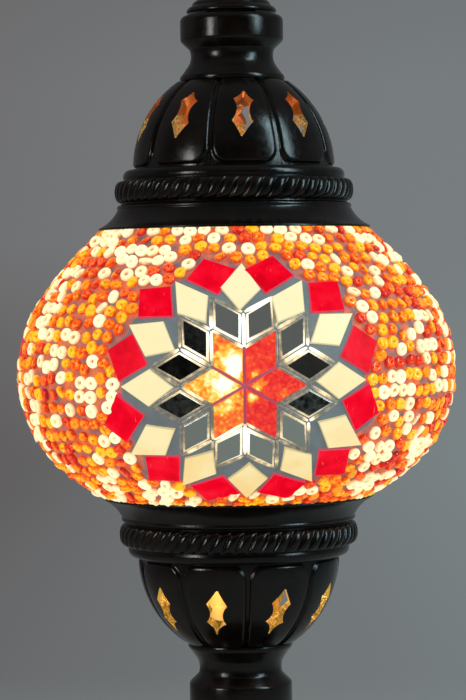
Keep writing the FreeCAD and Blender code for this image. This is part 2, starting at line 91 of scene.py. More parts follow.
STAR_SIDE, TILE_GAP, MIRROR_GAP, TILE_T = 12.7, 0.8, 1.7, 1.9
CREAM_IN, CREAM_SIDE, CREAM_OUT, CREAM_SPREAD, NOTCH_OUT = 26.2, 34.9, 44.8, 10.2, 2.3
RED_IN, RED_SIDE, RED_OUT, RED_SPREAD = 35.8, 44.8, 51.4, 10.8
ROSETTE_Z, ROSETTE_TURN, ROSETTES = -2.0, 2.0, 3
BEAD_R = 2.5
# How far the beads' middles, and the bed round the tiles, stand off the grout's surface.
BEAD_LIFT, BED_LIFT = 1.05, 1.15


# ---- materials --------------------------------------------------------------------------------------
class Nodes:
    """Short calls for the nodes of one tree. Sizes are in mm."""

    def __init__(self, tree, place):
        self.tree = tree
        self.place = self.node("ShaderNodeTexCoord").outputs[place]

    def node(self, kind, **settings):
        made = self.tree.nodes.new(kind)
        for key, value in settings.items():
            setattr(made, key, value)
        return made

    def wire(self, source, socket):
        if isinstance(source, bpy.types.NodeSocket):
            self.tree.links.new(source, socket)
        elif isinstance(source, tuple) and len(source) == 3 and socket.type == "RGBA":
            socket.default_value = (*source, 1.0)
        else:
            socket.default_value = source

    def noise(self, size, detail=3.0, distortion=0.0, stretch=None):
        """Noise whose features are about size mm across."""
        made = self.node("ShaderNodeTexNoise")
        made.inputs["Scale"].default_value = 1.0 / (size * MM)
        made.inputs["Detail"].default_value = detail
        made.inputs["Distortion"].default_value = distortion
        self.wire(self.stretched(stretch), made.inputs["Vector"])
        return made.outputs["Fac"]

    def cells(self, size, feature="F1", output="Distance"):
        made = self.node("ShaderNodeTexVoronoi", feature=feature)
        made.inputs["Scale"].default_value = 1.0 / (size * MM)
        self.wire(self.place, made.inputs["Vector"])
        return made.outputs[output]

    def stretched(self, scale):
        if scale is None:
            return self.place
        made = self.node("ShaderNodeVectorMath", operation="MULTIPLY")
        self.wire(self.place, made.inputs[0])
        made.inputs[1].default_value = scale
        return made.outputs[0]

    def value(self, name):
        return self.node("ShaderNodeAttribute", attribute_name=name).outputs["Fac"]

    def along(self, axis):
        made = self.node("ShaderNodeSeparateXYZ")
        self.wire(self.place, made.inputs[0])
        return made.outputs[axis]

    def math(self, operation, a, b=0.0, clamp=False):
        made = self.node("ShaderNodeMath", operation=operation, use_clamp=clamp)
        self.wire(a, made.inputs[0])
        self.wire(b, made.inputs[1])
        return made.outputs[0]

    def total(self, *values, clamp=True):
        """The values' sum, kept within 0 and 1 if clamp is set."""
        made = values[0]
        for value in values[1:]:
            made = self.math("ADD", made, value, clamp and value is values[-1])
        return made

    def cloud(self, size, detail, low, high, distortion=0.0):
        """Noise brought to about low to high."""
        return self.span(self.noise(size, detail, distortion), 0.3, 0.7, low, high)

    def span(self, value, from_low, from_high, to_low=0.0, to_high=1.0):
        made = self.node("ShaderNodeMapRange")
        for i, v in enumerate((value, from_low, from_high, to_low, to_high)):
            self.wire(v, made.inputs[i])
        return made.outputs[0]

    def ramp(self, value, *stops):
        made = self.node("ShaderNodeValToRGB")
        elements = made.color_ramp.elements
        while len(elements) < len(stops):
            elements.new(0.5)
        for element, (at, color) in zip(elements, sorted(stops)):
            element.position = at
            element.color = (*color, 1.0)
        self.wire(value, made.inputs[0])
        return made.outputs[0]

    def mix(self, amount, a, b):
        made = self.node("ShaderNodeMix", data_type="RGBA")
        self.wire(amount, made.inputs[0])
        self.wire(a, made.inputs[6])
        self.wire(b, made.inputs[7])
        return made.outputs[2]

    def bump(self, height, distance, strength=1.0, base=None):
        """distance is the height of the relief in mm."""
        made = self.node("ShaderNodeBump")
        made.inputs["Strength"].default_value = strength
        made.inputs["Distance"].default_value = distance * MM
        self.wire(height, made.inputs["Height"])
        if base is not None:
            self.wire(base, made.inputs["Normal"])
        return made.outputs[0]


class Shade(Nodes):
    """A material with one Principled shader. Inputs are the shader's, as in coat_weight=0.3."""

    def __init__(self, name, **inputs):
        self.material = bpy.data.materials.new(name)
        self.material.use_nodes = True
        super().__init__(self.material.node_tree, "Object")
        self.shader = self.tree.nodes["Principled BSDF"]
        for key, value in inputs.items():
            self.set(key.replace("_", " ").title().replace("Ior", "IOR"), value)

    def set(self, name, value):
        self.wire(value, self.shader.inputs[name])

    def glow(self, color, strength):
        self.set("Emission Color", color)
        self.set("Emission Strength", strength)


def metal(name, dark, light, roughness, metallic=0.0, grain=0.05):
    """Cast or turned metal: cloudy colour, uneven gloss, a fine skin."""
    s = Shade(name, metallic=metallic)
    s.set("Base Color", s.ramp(s.noise(9.0, 5.0), (0.35, dark), (0.68, light)))
    s.set("Roughness", s.cloud(2.2, 4.0, *roughness))
    broad = s.bump(s.noise(3.5), grain * 2.0, 0.6)
    s.set("Normal", s.bump(s.noise(0.55), grain, 0.7, broad))
    return s


def plain(name, dark, light, roughness, size=6.0, relief=0.03):
    s = Shade(name)
    s.set("Base Color", s.ramp(s.noise(size, 4.0), (0.3, dark), (0.7, light)))
    s.set("Roughness", s.cloud(1.5, 3.0, *roughness))
    s.set("Normal", s.bump(s.noise(0.8), relief, 0.6))
    return s


def lit_inside(name, floor_z, ledge_z, low_color, high_color, strength):
    """The bare casting inside the cap and the bowl, gold where the bulb's light is painted on it as a glow.
    """
    s = Shade(name, metallic=0.35, roughness=0.42)
    # Painted light: gold with painted shade in its creases below the ledge, a dimmer orange above it.
    over = s.span(s.along("Z"), (ledge_z - 0.3) * MM, (ledge_z + 0.3) * MM)
    folds = s.span(s.noise(1.7, 2.0, 2.2), 0.42, 0.6)
    rough = s.mix(folds, tuple(0.32 * c for c in low_color), low_color)
    smooth = s.ramp(s.noise(2.5), (0.3, tuple(0.75 * c for c in high_color)), (0.7, high_color))
    tone = s.mix(over, rough, smooth)
    s.set("Base Color", s.mix(0.7, tone, (0.12, 0.08, 0.03)))
    # The painted glow is strongest at the floor and fades upwards.
    s.glow(tone, s.span(s.along("Z"), floor_z * MM, (ledge_z + 12) * MM, strength, strength * 0.8))
    s.set("Normal", s.bump(s.math("MULTIPLY", folds, s.span(over, 0.0, 1.0, 1.0, 0.1)), 0.6, 0.9))
    return s


bronze = metal("bronze", (0.0016, 0.0014, 0.0011), (0.0085, 0.0042, 0.0026), (0.15, 0.27))
bronze.set("Specular IOR Level", 0.3)
zinc = metal("zinc_steel", (0.30, 0.29, 0.27), (0.5, 0.49, 0.46), (0.25, 0.45), 1.0, 0.02)
brass = metal("brass", (0.5, 0.30, 0.09), (0.78, 0.52, 0.2), (0.2, 0.4), 1.0, 0.03)
nickel = metal("nickel", (0.45, 0.44, 0.42), (0.7, 0.68, 0.65), (0.12, 0.3), 1.0, 0.015)
plastic = plain("black_plastic", (0.008, 0.008, 0.008), (0.018, 0.018, 0.018), (0.35, 0.5))
ceramic = plain("ceramic", (0.62, 0.58, 0.5), (0.8, 0.77, 0.7), (0.25, 0.4))
black_glass = plain("black_glass", (0.004, 0.004, 0.008), (0.012, 0.012, 0.02), (0.05, 0.15))
felt = plain("felt", (0.012, 0.028, 0.016), (0.03, 0.055, 0.035), (0.9, 1.0), 1.6, 0.25)
felt.set("Sheen Weight", 0.4)
# Colours of the painted light below and above the ledge, and the glow's strength.
cap_inside = lit_inside("cap_inside", UPPER_RIM_Z + 24, UPPER_RIM_Z + 41,
                        (0.74, 0.48, 0.16), (0.38, 0.085, 0.012), 0.46)
bowl_inside = lit_inside("bowl_inside", LOWER_RIM_Z - 54, LOWER_RIM_Z - 38,
                         (0.64, 0.36, 0.055), (0.72, 0.46, 0.085), 0.68)

s = bulb_glass = Shade("bulb_glass", roughness=0.04, alpha=0.28)
s.set("Base Color", s.ramp(s.noise(20.0), (0.3, (1.0, 0.93, 0.8)), (0.7, (1.0, 0.97, 0.9))))
s.set("Normal", s.bump(s.noise(9.0, 1.0), 0.15, 0.4))
s.glow((1.0, 0.62, 0.25), 0.35)

s = filament = Shade("filament", roughness=0.6)
s.set("Base Color", (1.0, 0.7, 0.3))
s.glow(s.ramp(s.cells(1.1), (0.0, (1.0, 0.8, 0.45)), (0.8, (1.0, 0.5, 0.15))), 14.0)

# The globe's glass, with the beads on it seen from inside.
CREAM, AMBER, ORANGE, RED = (1.0, 0.86, 0.58), (1.0, 0.30, 0.008), (0.92, 0.10, 0.010), (0.75, 0.03, 0.008)
s = globe_inside = Shade("globe_inside", roughness=0.12, coat_weight=0.4)
seen = s.ramp(s.cells(4.8, output="Color"), (0.0, RED), (0.25, ORANGE), (0.5, AMBER), (0.62, AMBER),
              (0.66, CREAM), (1.0, CREAM))
gaps = s.span(s.cells(4.8, "DISTANCE_TO_EDGE"), 0.03, 0.12)
s.set("Base Color", s.mix(gaps, (0.25, 0.2, 0.2), seen))
s.glow(seen, s.span(gaps, 0.0, 1.0, 0.1, 0.55))
s.set("Normal", s.bump(s.noise(7.0, 2.0), 0.2, 0.4))

# Grout, glowing with painted light: red and orange from the beads between the beads, grey between the tiles
# (bed), pink from the star's light round the star's tiles (warm).
s = grout = Shade("grout", roughness=0.75)
grout_with_bead_light = s.ramp(s.noise(5.0), (0.34, (0.19, 0.135, 0.145)), (0.5, (0.52, 0.14, 0.10)),
                       (0.66, (0.92, 0.17, 0.03)))
between_tiles = s.ramp(s.noise(6.0), (0.3, (0.11, 0.138, 0.15)), (0.7, (0.155, 0.185, 0.195)))
color = s.mix(s.value("warm"), s.mix(s.value("bed"), grout_with_bead_light, between_tiles), (0.42, 0.075, 0.13))
s.set("Base Color", s.mix(0.7, color, (0.1, 0.1, 0.1)))
# Painted light: the grout glows in these colours.
s.glow(color, 0.72)
s.set("Normal", s.bump(s.noise(0.9, 4.0), 0.15, 0.6))


def bead_glass(name, stops, strength, cloudy, body):
    """Stops go from the shaded foot of a bead to its crown. Cloudy is how much its inside varies."""
    s = Shade(name, roughness=0.12, coat_weight=0.3)
    cloud = s.span(s.noise(1.9, 2.0, 0.8), 0.32, 0.68, -cloudy, cloudy)
    level = s.total(s.value("crown"), cloud, s.span(s.value("tone"), 0.0, 1.0, -0.2, 0.2))
    color = s.ramp(level, *stops)
    s.set("Base Color", s.mix(0.75, color, body))
    s.glow(color, s.span(level, 0.0, 1.0, strength * 0.7, strength))
    s.set("Normal", s.bump(s.noise(1.3, 2.0), 0.08, 0.5))
    return s


bead_shades = {
    "bead_cream": bead_glass("bead_cream", [
        (0.0, (0.62, 0.20, 0.09)), (0.22, (0.88, 0.50, 0.22)), (0.5, (0.98, 0.80, 0.40)),
        (1.0, (1.0, 0.90, 0.56)),
    ], 1.1, 0.14, (0.2, 0.18, 0.14)),
    "bead_amber": bead_glass("bead_amber", [
        (0.0, (0.60, 0.045, 0.008)), (0.35, (0.92, 0.12, 0.004)), (0.7, (1.0, 0.31, 0.002)),
        (1.0, (1.0, 0.56, 0.02)),
    ], 1.0, 0.36, (0.1, 0.03, 0.0)),
    "bead_orange": bead_glass("bead_orange", [
        (0.0, (0.42, 0.02, 0.008)), (0.4, (0.82, 0.045, 0.005)), (0.75, (0.95, 0.12, 0.004)),
        (1.0, (1.0, 0.32, 0.01)),
    ], 1.0, 0.32, (0.08, 0.01, 0.0)),
    "bead_red": bead_glass("bead_red", [
        (0.0, (0.32, 0.012, 0.012)), (0.45, (0.70, 0.016, 0.008)), (0.8, (0.88, 0.045, 0.012)),
        (1.0, (0.98, 0.16, 0.02)),
    ], 0.95, 0.3, (0.06, 0.0, 0.0)),
}

s = cream_glass = Shade("cream_glass", roughness=0.22, specular_ior_level=0.12)
level = s.total(s.cloud(9.0, 2.0, 0.3, 0.8), s.span(s.value("tone"), 0.0, 1.0, -0.15, 0.15), clamp=False)
# Painted light: the cream tiles are lighter and yellower towards the top.
level = s.total(s.math("MULTIPLY", level, 0.4), s.span(s.along("Z"), 0.165, 0.245, 0.0, 0.6), clamp=False)
color = s.ramp(level, (0.1, (0.95, 0.68, 0.27)), (0.4, (1.0, 0.84, 0.45)), (0.8, (1.0, 0.91, 0.54)))
s.set("Base Color", s.mix(0.85, color, (0.0, 0.0, 0.0)))
# Painted shade: the glow is dimmer on the tiles' bevelled edges and sides.
s.glow(color, s.span(s.value("rim"), 0.0, 1.0, 0.94, 0.6))
s.set("Normal", s.bump(s.noise(5.0, 2.0), 0.12, 0.5))

s = red_glass = Shade("red_glass", roughness=0.2, specular_ior_level=0.06)
level = s.total(s.cloud(6.0, 3.0, 0.25, 0.75), s.span(s.value("tone"), 0.0, 1.0, -0.12, 0.12), clamp=False)
color = s.ramp(level, (0.1, (0.62, 0.0, 0.010)), (0.5, (0.90, 0.001, 0.018)), (0.9, (0.97, 0.012, 0.035)))
scratch = s.span(s.noise(0.7, 2.0, stretch=(1.0, 0.3, 0.09)), 0.70, 0.80)
color = s.mix(s.math("MULTIPLY", scratch, 0.55), color, (1.0, 0.35, 0.2))
color = s.mix(s.math("MULTIPLY", s.value("rim"), 0.7), color, (0.55, 0.08, 0.13))
s.set("Base Color", s.mix(0.9, color, (0.0, 0.0, 0.0)))
s.glow(color, 0.98)
s.set("Normal", s.bump(s.noise(4.0, 2.0), 0.12, 0.5))

s = star_red = Shade("star_red", roughness=0.12, specular_ior_level=0.2)
bubbles = s.span(s.cells(1.7), 0.0, 0.55, 0.16, -0.05)
level = s.total(s.value("shine"), bubbles, s.cloud(2.6, 4.0, -0.16, 0.16, 0.8))
color = s.ramp(level, (0.0, (0.62, 0.008, 0.02)), (0.2, (0.88, 0.035, 0.035)), (0.36, (0.94, 0.09, 0.04)),
               (0.52, (0.96, 0.28, 0.03)), (0.68, (1.0, 0.55, 0.07)), (0.95, (1.0, 0.94, 0.6)))
s.set("Base Color", (0.12, 0.01, 0.0))
s.glow(color, s.span(level, 0.5, 1.0, 0.95, 1.6))
s.set("Normal", s.bump(s.cells(1.7), 0.35, 0.6))

# Painted reflections: by its tone a mirror runs from cloudy near-black to grey, and the lighter ones glow
# grey as if showing the backdrop.
s = mirror = Shade("mirror", metallic=1.0)
dark = s.mix(s.span(s.noise(3.2, 4.0, 1.0), 0.35, 0.65), (0.012, 0.014, 0.016), (0.16, 0.17, 0.15))
s.set("Base Color", s.mix(s.span(s.value("tone"), 0.35, 0.65), dark, (0.34, 0.37, 0.35)))
s.set("Roughness", s.cloud(4.0, 3.0, 0.05, 0.16))
s.glow((0.115, 0.12, 0.105), s.span(s.value("tone"), 0.35, 0.65, 0.02, 0.55))
s.set("Normal", s.bump(s.noise(6.0, 2.0), 0.08, 0.5))


def leak(name, dim_strength, hot_strength):
    """Light that leaks out along the mirrors' edges, bright where the shine attribute is high."""
    s = Shade(name, roughness=0.2, coat_weight=0.3)
    heat = s.total(s.value("shine"), s.cloud(1.8, 2.0, -0.16, 0.16))
    color = s.ramp(heat, (0.0, (0.11, 0.105, 0.09)), (0.25, (0.30, 0.25, 0.16)), (0.5, (0.85, 0.62, 0.32)),
                   (0.8, (1.0, 0.88, 0.6)), (1.0, (1.0, 0.96, 0.8)))
    s.set("Base Color", (0.2, 0.18, 0.14))
    s.glow(color, s.span(heat, 0.0, 1.0, dim_strength, hot_strength))
    s.set("Normal", s.bump(s.noise(1.5, 2.0), 0.1, 0.5))
    return s


mirror_edge, clear_glue = leak("mirror_edge", 0.7, 1.2), leak("clear_glue", 0.8, 1.5)

# The lampholder with painted light: it glows, brightest towards -X and darker towards +X, as a lit cylinder
# looks.
s = lit_brass = Shade("lit_brass", metallic=0.6)
color = s.ramp(s.span(s.along("X"), -0.012, 0.004, 1.0, 0.0), (0.0, (0.34, 0.15, 0.02)),
               (0.4, (0.48, 0.23, 0.035)), (0.75, (0.95, 0.62, 0.18)), (1.0, (0.7, 0.36, 0.06)))
s.set("Base Color", color)
s.set("Roughness", s.cloud(3.0, 3.0, 0.25, 0.4))
s.glow(color, 0.75)
s.set("Normal", s.bump(s.noise(2.0), 0.05, 0.5))

# The looks of the CAD's own surfaces, by slot, and by node where that differs.
SLOT_SHADES = {
    "bronze": bronze, "zinc_steel": zinc, "brass": brass, "nickel": nickel, "felt": felt,
    "black_plastic": plastic, "ceramic": ceramic, "black_glass": black_glass, "clear_glass": bulb_glass,
    "grout": grout, "filament": filament,
}
NODE_SHADES = {"globe_glass": globe_inside, "holder_cap": lit_brass, "holder_body": lit_brass}
for row in frame["record"]["subparts"]:
    shade = NODE_SHADES.get(row["node"], SLOT_SHADES.get(row["material_slot"]))
    if shade:
        data = frame["nodes"][row["node"]].data
        data.materials.clear()
        data.materials.append(shade.material)


# ---- mesh helpers -----------------------------------------------------------------------------------
def around(r, angle, z):
    """The point r mm from the axis at an angle in radians from -Y towards +X."""
    return (r * math.sin(angle), -r * math.cos(angle), z)


def face_outwards(mesh):
    work = bmesh.new()
    work.from_mesh(mesh)
    bmesh.ops.recalc_face_normals(work, faces=work.faces)
    work.to_mesh(mesh)
    work.free()


def smooth(mesh, sharp_angle=None):
    mesh.polygons.foreach_set("use_smooth", np.ones(len(mesh.polygons), bool))
    if sharp_angle:
        mesh.set_sharp_from_angle(angle=math.radians(sharp_angle))


def new_mesh(name, points, faces, shades, picks=None):
    """A mesh from points in mm. picks gives each face's material."""
    mesh = bpy.data.meshes.new(name)
    mesh.from_pydata((np.asarray(points, float) * MM).tolist(), [], [list(f) for f in faces])
    for s in shades:
        mesh.materials.append(s.material)
    if picks is not None:
        mesh.polygons.foreach_set("material_index", np.asarray(picks, np.int32))
    return mesh


def new_object(name, data):
    made = bpy.data.objects.new(name, data)
    bpy.context.scene.collection.objects.link(made)
    return made


def make(name, points, faces, shades, body, replaced=(), picks=None, values=None, sharp=None):
    """A piece from points in mm. values gives each point's attributes."""
    mesh = new_mesh(name, points, faces, shades, picks)
    for key, numbers in (values or {}).items():
        mesh.attributes.new(key, "FLOAT", "POINT").data.foreach_set("value", np.asarray(numbers, np.float32))
    face_outwards(mesh)
    smooth(mesh, sharp)
    piece = new_object(name, mesh)
    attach(piece, body)
    if replaced:
        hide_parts(*replaced)
    return piece


def arc_points(a, middle, b, step):
    """Points after a, up to b, on the arc through the three."""
    ax, ay, bx, by, cx, cy = *a, *middle, *b
    d = 2 * (ax * (by - cy) + bx * (cy - ay) + cx * (ay - by))
    aa, bb, cc = ax * ax + ay * ay, bx * bx + by * by, cx * cx + cy * cy
    ux = (aa * (by - cy) + bb * (cy - ay) + cc * (ay - by)) / d
    uy = (aa * (cx - bx) + bb * (ax - cx) + cc * (bx - ax)) / d
    radius = math.hypot(ax - ux, ay - uy)
    start, mid, end = (math.atan2(p[1] - uy, p[0] - ux) for p in (a, middle, b))
    turn = (end - start) % math.tau
    if (mid - start) % math.tau > turn:
        turn -= math.tau
    count = max(2, round(abs(turn) * radius / step))
    angles = [start + turn * i / count for i in range(1, count + 1)]
    return [(ux + radius * math.cos(a), uy + radius * math.sin(a)) for a in angles]


def outline(points, step=0.7):
    """A closed (r, z) outline with its arcs ((on it), (its end)) divided."""
    out = [points[0]]
    for p in points[1:]:
        out += arc_points(out[-1], p[0], p[1], step) if isinstance(p[0], tuple) else [p]
    return out


def softened(points, cut=0.35, keep=20.0):
    """The outline with its corners rounded, as a cast and lacquered edge is."""
    out = []
    n = len(points)
    for i, p in enumerate(points):
        a, b = Vector(points[i - 1]), Vector(points[(i + 1) % n])
        p = Vector(p)
        before, after = a - p, b - p
        on_axis = min(before.length, after.length) < 1e-6 or p.x < 0.01
        if on_axis or 180 - math.degrees(before.angle(after)) < keep:
            out.append(tuple(p))
            continue
        first = p + before.normalized() * min(cut, before.length * 0.45)
        last = p + after.normalized() * min(cut, after.length * 0.45)
        for t in (0.0, 0.33, 0.67, 1.0):
            out.append(tuple(first * (1 - t) ** 2 + p * 2 * t * (1 - t) + last * t * t))
    return out


def add_ring(points, rings, more):
    rings.append(range(len(points), len(points) + len(more)))
    points += more


def ring_faces(rings, closed=True):
    """Faces between rings of point numbers; a ring of one is a pole."""
    faces = []
    pairs = zip(rings, rings[1:] + rings[:1]) if closed else zip(rings, rings[1:])
    for a, b in pairs:
        n = max(len(a), len(b))
        if n == 1:
            continue
        for i in range(n):
            j = (i + 1) % n
            if len(a) == 1:
                faces.append((a[0], b[i], b[j]))
            elif len(b) == 1:
                faces.append((a[i], a[j], b[0]))
            else:
                faces.append((a[i], a[j], b[j], b[i]))
    return faces


def uneven(x, y, z, r, depth=0.05):
    """The point moved in by up to depth mm, as a cast skin is."""
    k = 1.0 - depth * (0.5 + 0.5 * noise.noise(Vector((x, y, z)) * 0.11)) / r
    return (x * k, y * k, z)


def lathe(profile, columns):
    points, rings = [], []
    turns = [math.tau * i / columns for i in range(columns)]
    for r, z in profile:
        on_axis = r < 0.01
        add_ring(points, rings, [(0.0, 0.0, z)] if on_axis else [uneven(*around(r, a, z), r) for a in turns])
    return points, ring_faces(rings)


def cast(name, profile, body, node, columns=240):
    points, faces = lathe(softened(outline(profile)), columns)
    return make(name, points, faces, [bronze], body, [node])


def upright(z0):
    return lambda h: z0 + h


def inverted(z0):
    return lambda h: z0 - h


def lifted(profile, place):
    """The same outline with each height h turned into place(h)."""
    def moved(p):
        return (moved(p[0]), moved(p[1])) if isinstance(p[0], tuple) else (p[0], place(p[1]))

    return [moved(p) for p in profile]


# ---- castings ---------------------------------------------------------------------------------------
PANEL_GAP, PANEL_EDGE, PANEL_DROP, PANEL_CROWN = 0.75, 1.3, 0.95, 0.35


def panel_height(x, half, s, start, end, corner):
    """Relief of a raised panel, x mm from its middle line and s mm along it."""
    across, along = half - abs(x), min(s - start, end - s)
    if across < corner and along < corner:
        inside = corner - math.hypot(corner - across, corner - along)
    else:
        inside = min(across, along)
    rise = min(1.0, max(0.0, inside / PANEL_EDGE))
    rise = math.sqrt(1 - (1 - rise) ** 2)
    return -PANEL_DROP * (1 - rise) - PANEL_CROWN * min(1.0, abs(x) / max(half, 1.0)) ** 2


def relief_casting(rows, place, lobes, per_lobe):
    """Points, faces and each face's material: 0 outside, 1 inside. A lobe's middle is at azimuth 0.

    rows are (r, h, panel, inside): panel is None or (nr, nh, s, start, end, corner).
    """
    points, rings, picks, turns = [], [], [], []
    pitch = 360.0 / lobes
    for k in range(lobes):
        for i in range(per_lobe):
            t = 2.0 * i / per_lobe - 1.0
            closer_to_groove = math.copysign(1 - (1 - abs(t)) ** 1.5, t)
            turns.append(pitch * (k + closer_to_groove / 2))
    for r, h, panel, inside in rows:
        ring = []
        for a in turns:
            rr, hh = r, h
            if panel:
                nr, nh, *span = panel
                x = math.radians((a + pitch / 2) % pitch - pitch / 2) * r
                d = panel_height(x, math.radians(pitch / 2) * r - PANEL_GAP, *span)
                rr, hh = r + nr * d, h + nh * d
            p = around(rr, math.radians(a), place(hh))
            ring.append(p if inside else uneven(*p, rr))
        add_ring(points, rings, ring)
    for (*_, inside_a), (*_, inside_b) in zip(rows, rows[1:] + rows[:1]):
        picks += [int(inside_a and inside_b)] * len(turns)
    return points, ring_faces(rings), picks


def window_outline(upper, waist, lower):
    """One window's outline about its middle. The arguments are shares of half its length."""
    half = DOME_ARC_R * math.radians(CUTOUT_HIGH - CUTOUT_LOW) / 2
    right = outline([
        (0.35, half), ((1.25, half * (upper + 0.22)), (3.7, half * upper)),
        ((2.35, half * waist), (3.9, half * lower)), ((1.75, half * (lower - 0.35)), (0.25, -half)),
    ], 0.8)
    return right + [(-x, y) for x, y in reversed(right)]


def window_cutters(turn, place, shade, shares, twist, shift):
    """One object with a prism for each window."""
    flip = 1.0 if place(1.0) > place(0.0) else -1.0
    tilt = math.radians((CUTOUT_LOW + CUTOUT_HIGH) / 2)
    c, s = math.cos(math.radians(twist)), math.sin(math.radians(twist))
    shape = [(x * c + y * s, y * c - x * s + shift) for x, y in window_outline(*shares)]
    points, faces = [], []
    for k in range(LOBES):
        a = math.radians(turn + 360.0 * k / LOBES)
        radial = Vector(around(1.0, a, 0.0))
        across = Vector((math.cos(a), math.sin(a), 0))
        rise = Vector((0, 0, flip))
        out = radial * math.cos(tilt) + rise * math.sin(tilt)
        up = rise * math.cos(tilt) - radial * math.sin(tilt)
        hub = radial * DOME_ARC_X + Vector((0, 0, place(DOME_BASE_H)))
        rings = []
        for depth in (DOME_ARC_R - 8.0, DOME_ARC_R + 6.0):
            add_ring(points, rings, [hub + out * depth + across * x + up * y for x, y in shape])
        faces += [*rings, *ring_faces(rings, closed=False)]
    mesh = new_mesh("windows", points, faces, [bronze, shade], [1] * len(faces))
    face_outwards(mesh)
    return new_object("windows", mesh)


def cut(piece, cutters):
    """Cuts the cutters out of the piece for good."""
    modifier = piece.modifiers.new("cut", "BOOLEAN")
    modifier.operation, modifier.solver, modifier.object = "DIFFERENCE", "EXACT", cutters
    bpy.context.view_layer.update()
    graph = bpy.context.evaluated_depsgraph_get()
    mesh = bpy.data.meshes.new_from_object(piece.evaluated_get(graph), depsgraph=graph)
    piece.modifiers.remove(modifier)
    piece.data = mesh
    smooth(mesh, 38)
    bpy.data.objects.remove(cutters)


def dome_rows():
    """Profile of the pierced dome, h up from the flared rim."""
    wall_r = DOME_ARC_R - DOME_WALL
    roof = math.degrees(math.asin((DOME_TOP_H - DOME_BASE_H) / DOME_ARC_R))
    ceiling, ledge_a, upper_r = DOME_TOP_H - 3.0, 27.5, wall_r - 1.3
    top_a = math.degrees(math.asin((ceiling - DOME_BASE_H) / upper_r))

    def on_arc(radius, degrees):
        a = math.radians(degrees)
        return DOME_ARC_X + radius * math.cos(a), DOME_BASE_H + radius * math.sin(a)

    rows = [(r, h, None, False) for r, h in softened(outline([
        (LEDGE_R, RING_H + 0.05), (42.3, RING_H + 0.05), (42.0, 10.2), (42.0, 18.1), (41.0, 18.4),
        ((41.25, 20.4), (39.9, 22.2)), (38.3, DOME_BASE_H),
    ]), 0.3)[2:]]
    length, count = DOME_ARC_R * math.radians(roof), 64
    for i in range(count + 1):
        a = math.radians(roof * i / count)
        panel = (math.cos(a), math.sin(a), length * i / count, 0.7, length + 6.0, 6.0)
        rows.append((*on_arc(DOME_ARC_R, roof * i / count), panel, False))
    rows += [(r, DOME_TOP_H, None, False) for r in (14.0, DOME_HOLE_R)]
    inner = [(DOME_HOLE_R, ceiling)]
    inner += [on_arc(upper_r, top_a + (ledge_a - top_a) * i / 12) for i in range(13)]
    inner += [on_arc(wall_r, ledge_a * (1 - i / 12)) for i in range(13)]
    inner += [(LEDGE_R, DOME_BASE_H - 2.0), (LEDGE_R, RING_H + 0.05)]
    return rows + [(r, h, None, True) for r, h in inner]


def dome(name, place, turn, body, node, inside_shade, *window):
    points, faces, picks = relief_casting(dome_rows(), place, LOBES, 44)
    b = math.radians(turn)
    points = [(x * math.cos(b) - y * math.sin(b), x * math.sin(b) + y * math.cos(b), z) for x, y, z in points]
    piece = make(name, points, faces, [bronze, inside_shade], body, [node], picks=picks)
    cut(piece, window_cutters(turn, place, inside_shade, *window))
    return piece


def rope(name, place, base_r, middle_h, half_h, strands, body):
    """A cast rope moulding: strands that lean over a half-round."""
    per, steps = 12, 16
    lean, depth, swell = 1.15, 1.55, 0.9
    points, rings = [], []
    flip = 1.0 if place(1.0) > place(0.0) else -1.0
    for j in range(steps + 1):
        psi = math.pi * (j / steps - 0.5)
        shift = lean * psi / math.pi * flip
        ring = []
        for i in range(strands * per):
            f = (i % per) / per
            ridge = math.sqrt(max(0.0, 1 - (2 * f - 1) ** 2))
            r = base_r + (swell + depth * ridge) * math.cos(psi) ** 0.8
            a = math.tau * (i / per + shift) / strands
            ring.append(around(r, a, place(middle_h + half_h * math.sin(psi))))
        add_ring(points, rings, ring)
    for side in (1, -1):
        turns = [math.tau * (i / per + side * lean / 2 * flip) / strands for i in range(strands * per)]
        add_ring(points, rings, [around(base_r - 1.2, a, place(middle_h + side * half_h)) for a in turns])
    make(name, points, ring_faces(rings), [bronze], body)


def flared(name, place, body, node):
    w = RING_WALL
    cast(name, lifted([
        (RING_R - w, 0.0), (RING_R - 0.02, 0.0), (RING_R - 0.02, 0.8), ((45.7, 4.4), (43.5, 7.7)),
        ((43.75, 8.6), (43.1, 9.3)), (42.4, RING_H), (LEDGE_R, RING_H), (LEDGE_R, LEDGE_H),
        (44.4 - w, LEDGE_H), ((46.0 - w, 3.6), (RING_R - w + 0.01, 0.02)),
    ], place), body, node, 300)


def knob(name, place, body, node):
    cast(name, lifted([
        (DOME_HOLE_R, KNOB_H), (DOME_HOLE_R, KNOB_H - 4.0), (11.0, KNOB_H - 4.0), (11.0, 3.0), (14.0, 0.0),
        (19.25, 0.0), ((19.55, 1.4), (18.7, 2.8)), (18.3, 3.3), (16.8, 5.4),
        ((15.4, 8.8), (15.8, 12.0)), (18.8, 14.9), ((19.1, 15.4), (19.2, 16.0)), (19.2, 22.4),
        ((18.556, 23.956), (17.0, KNOB_H)),
    ], place), body, node)


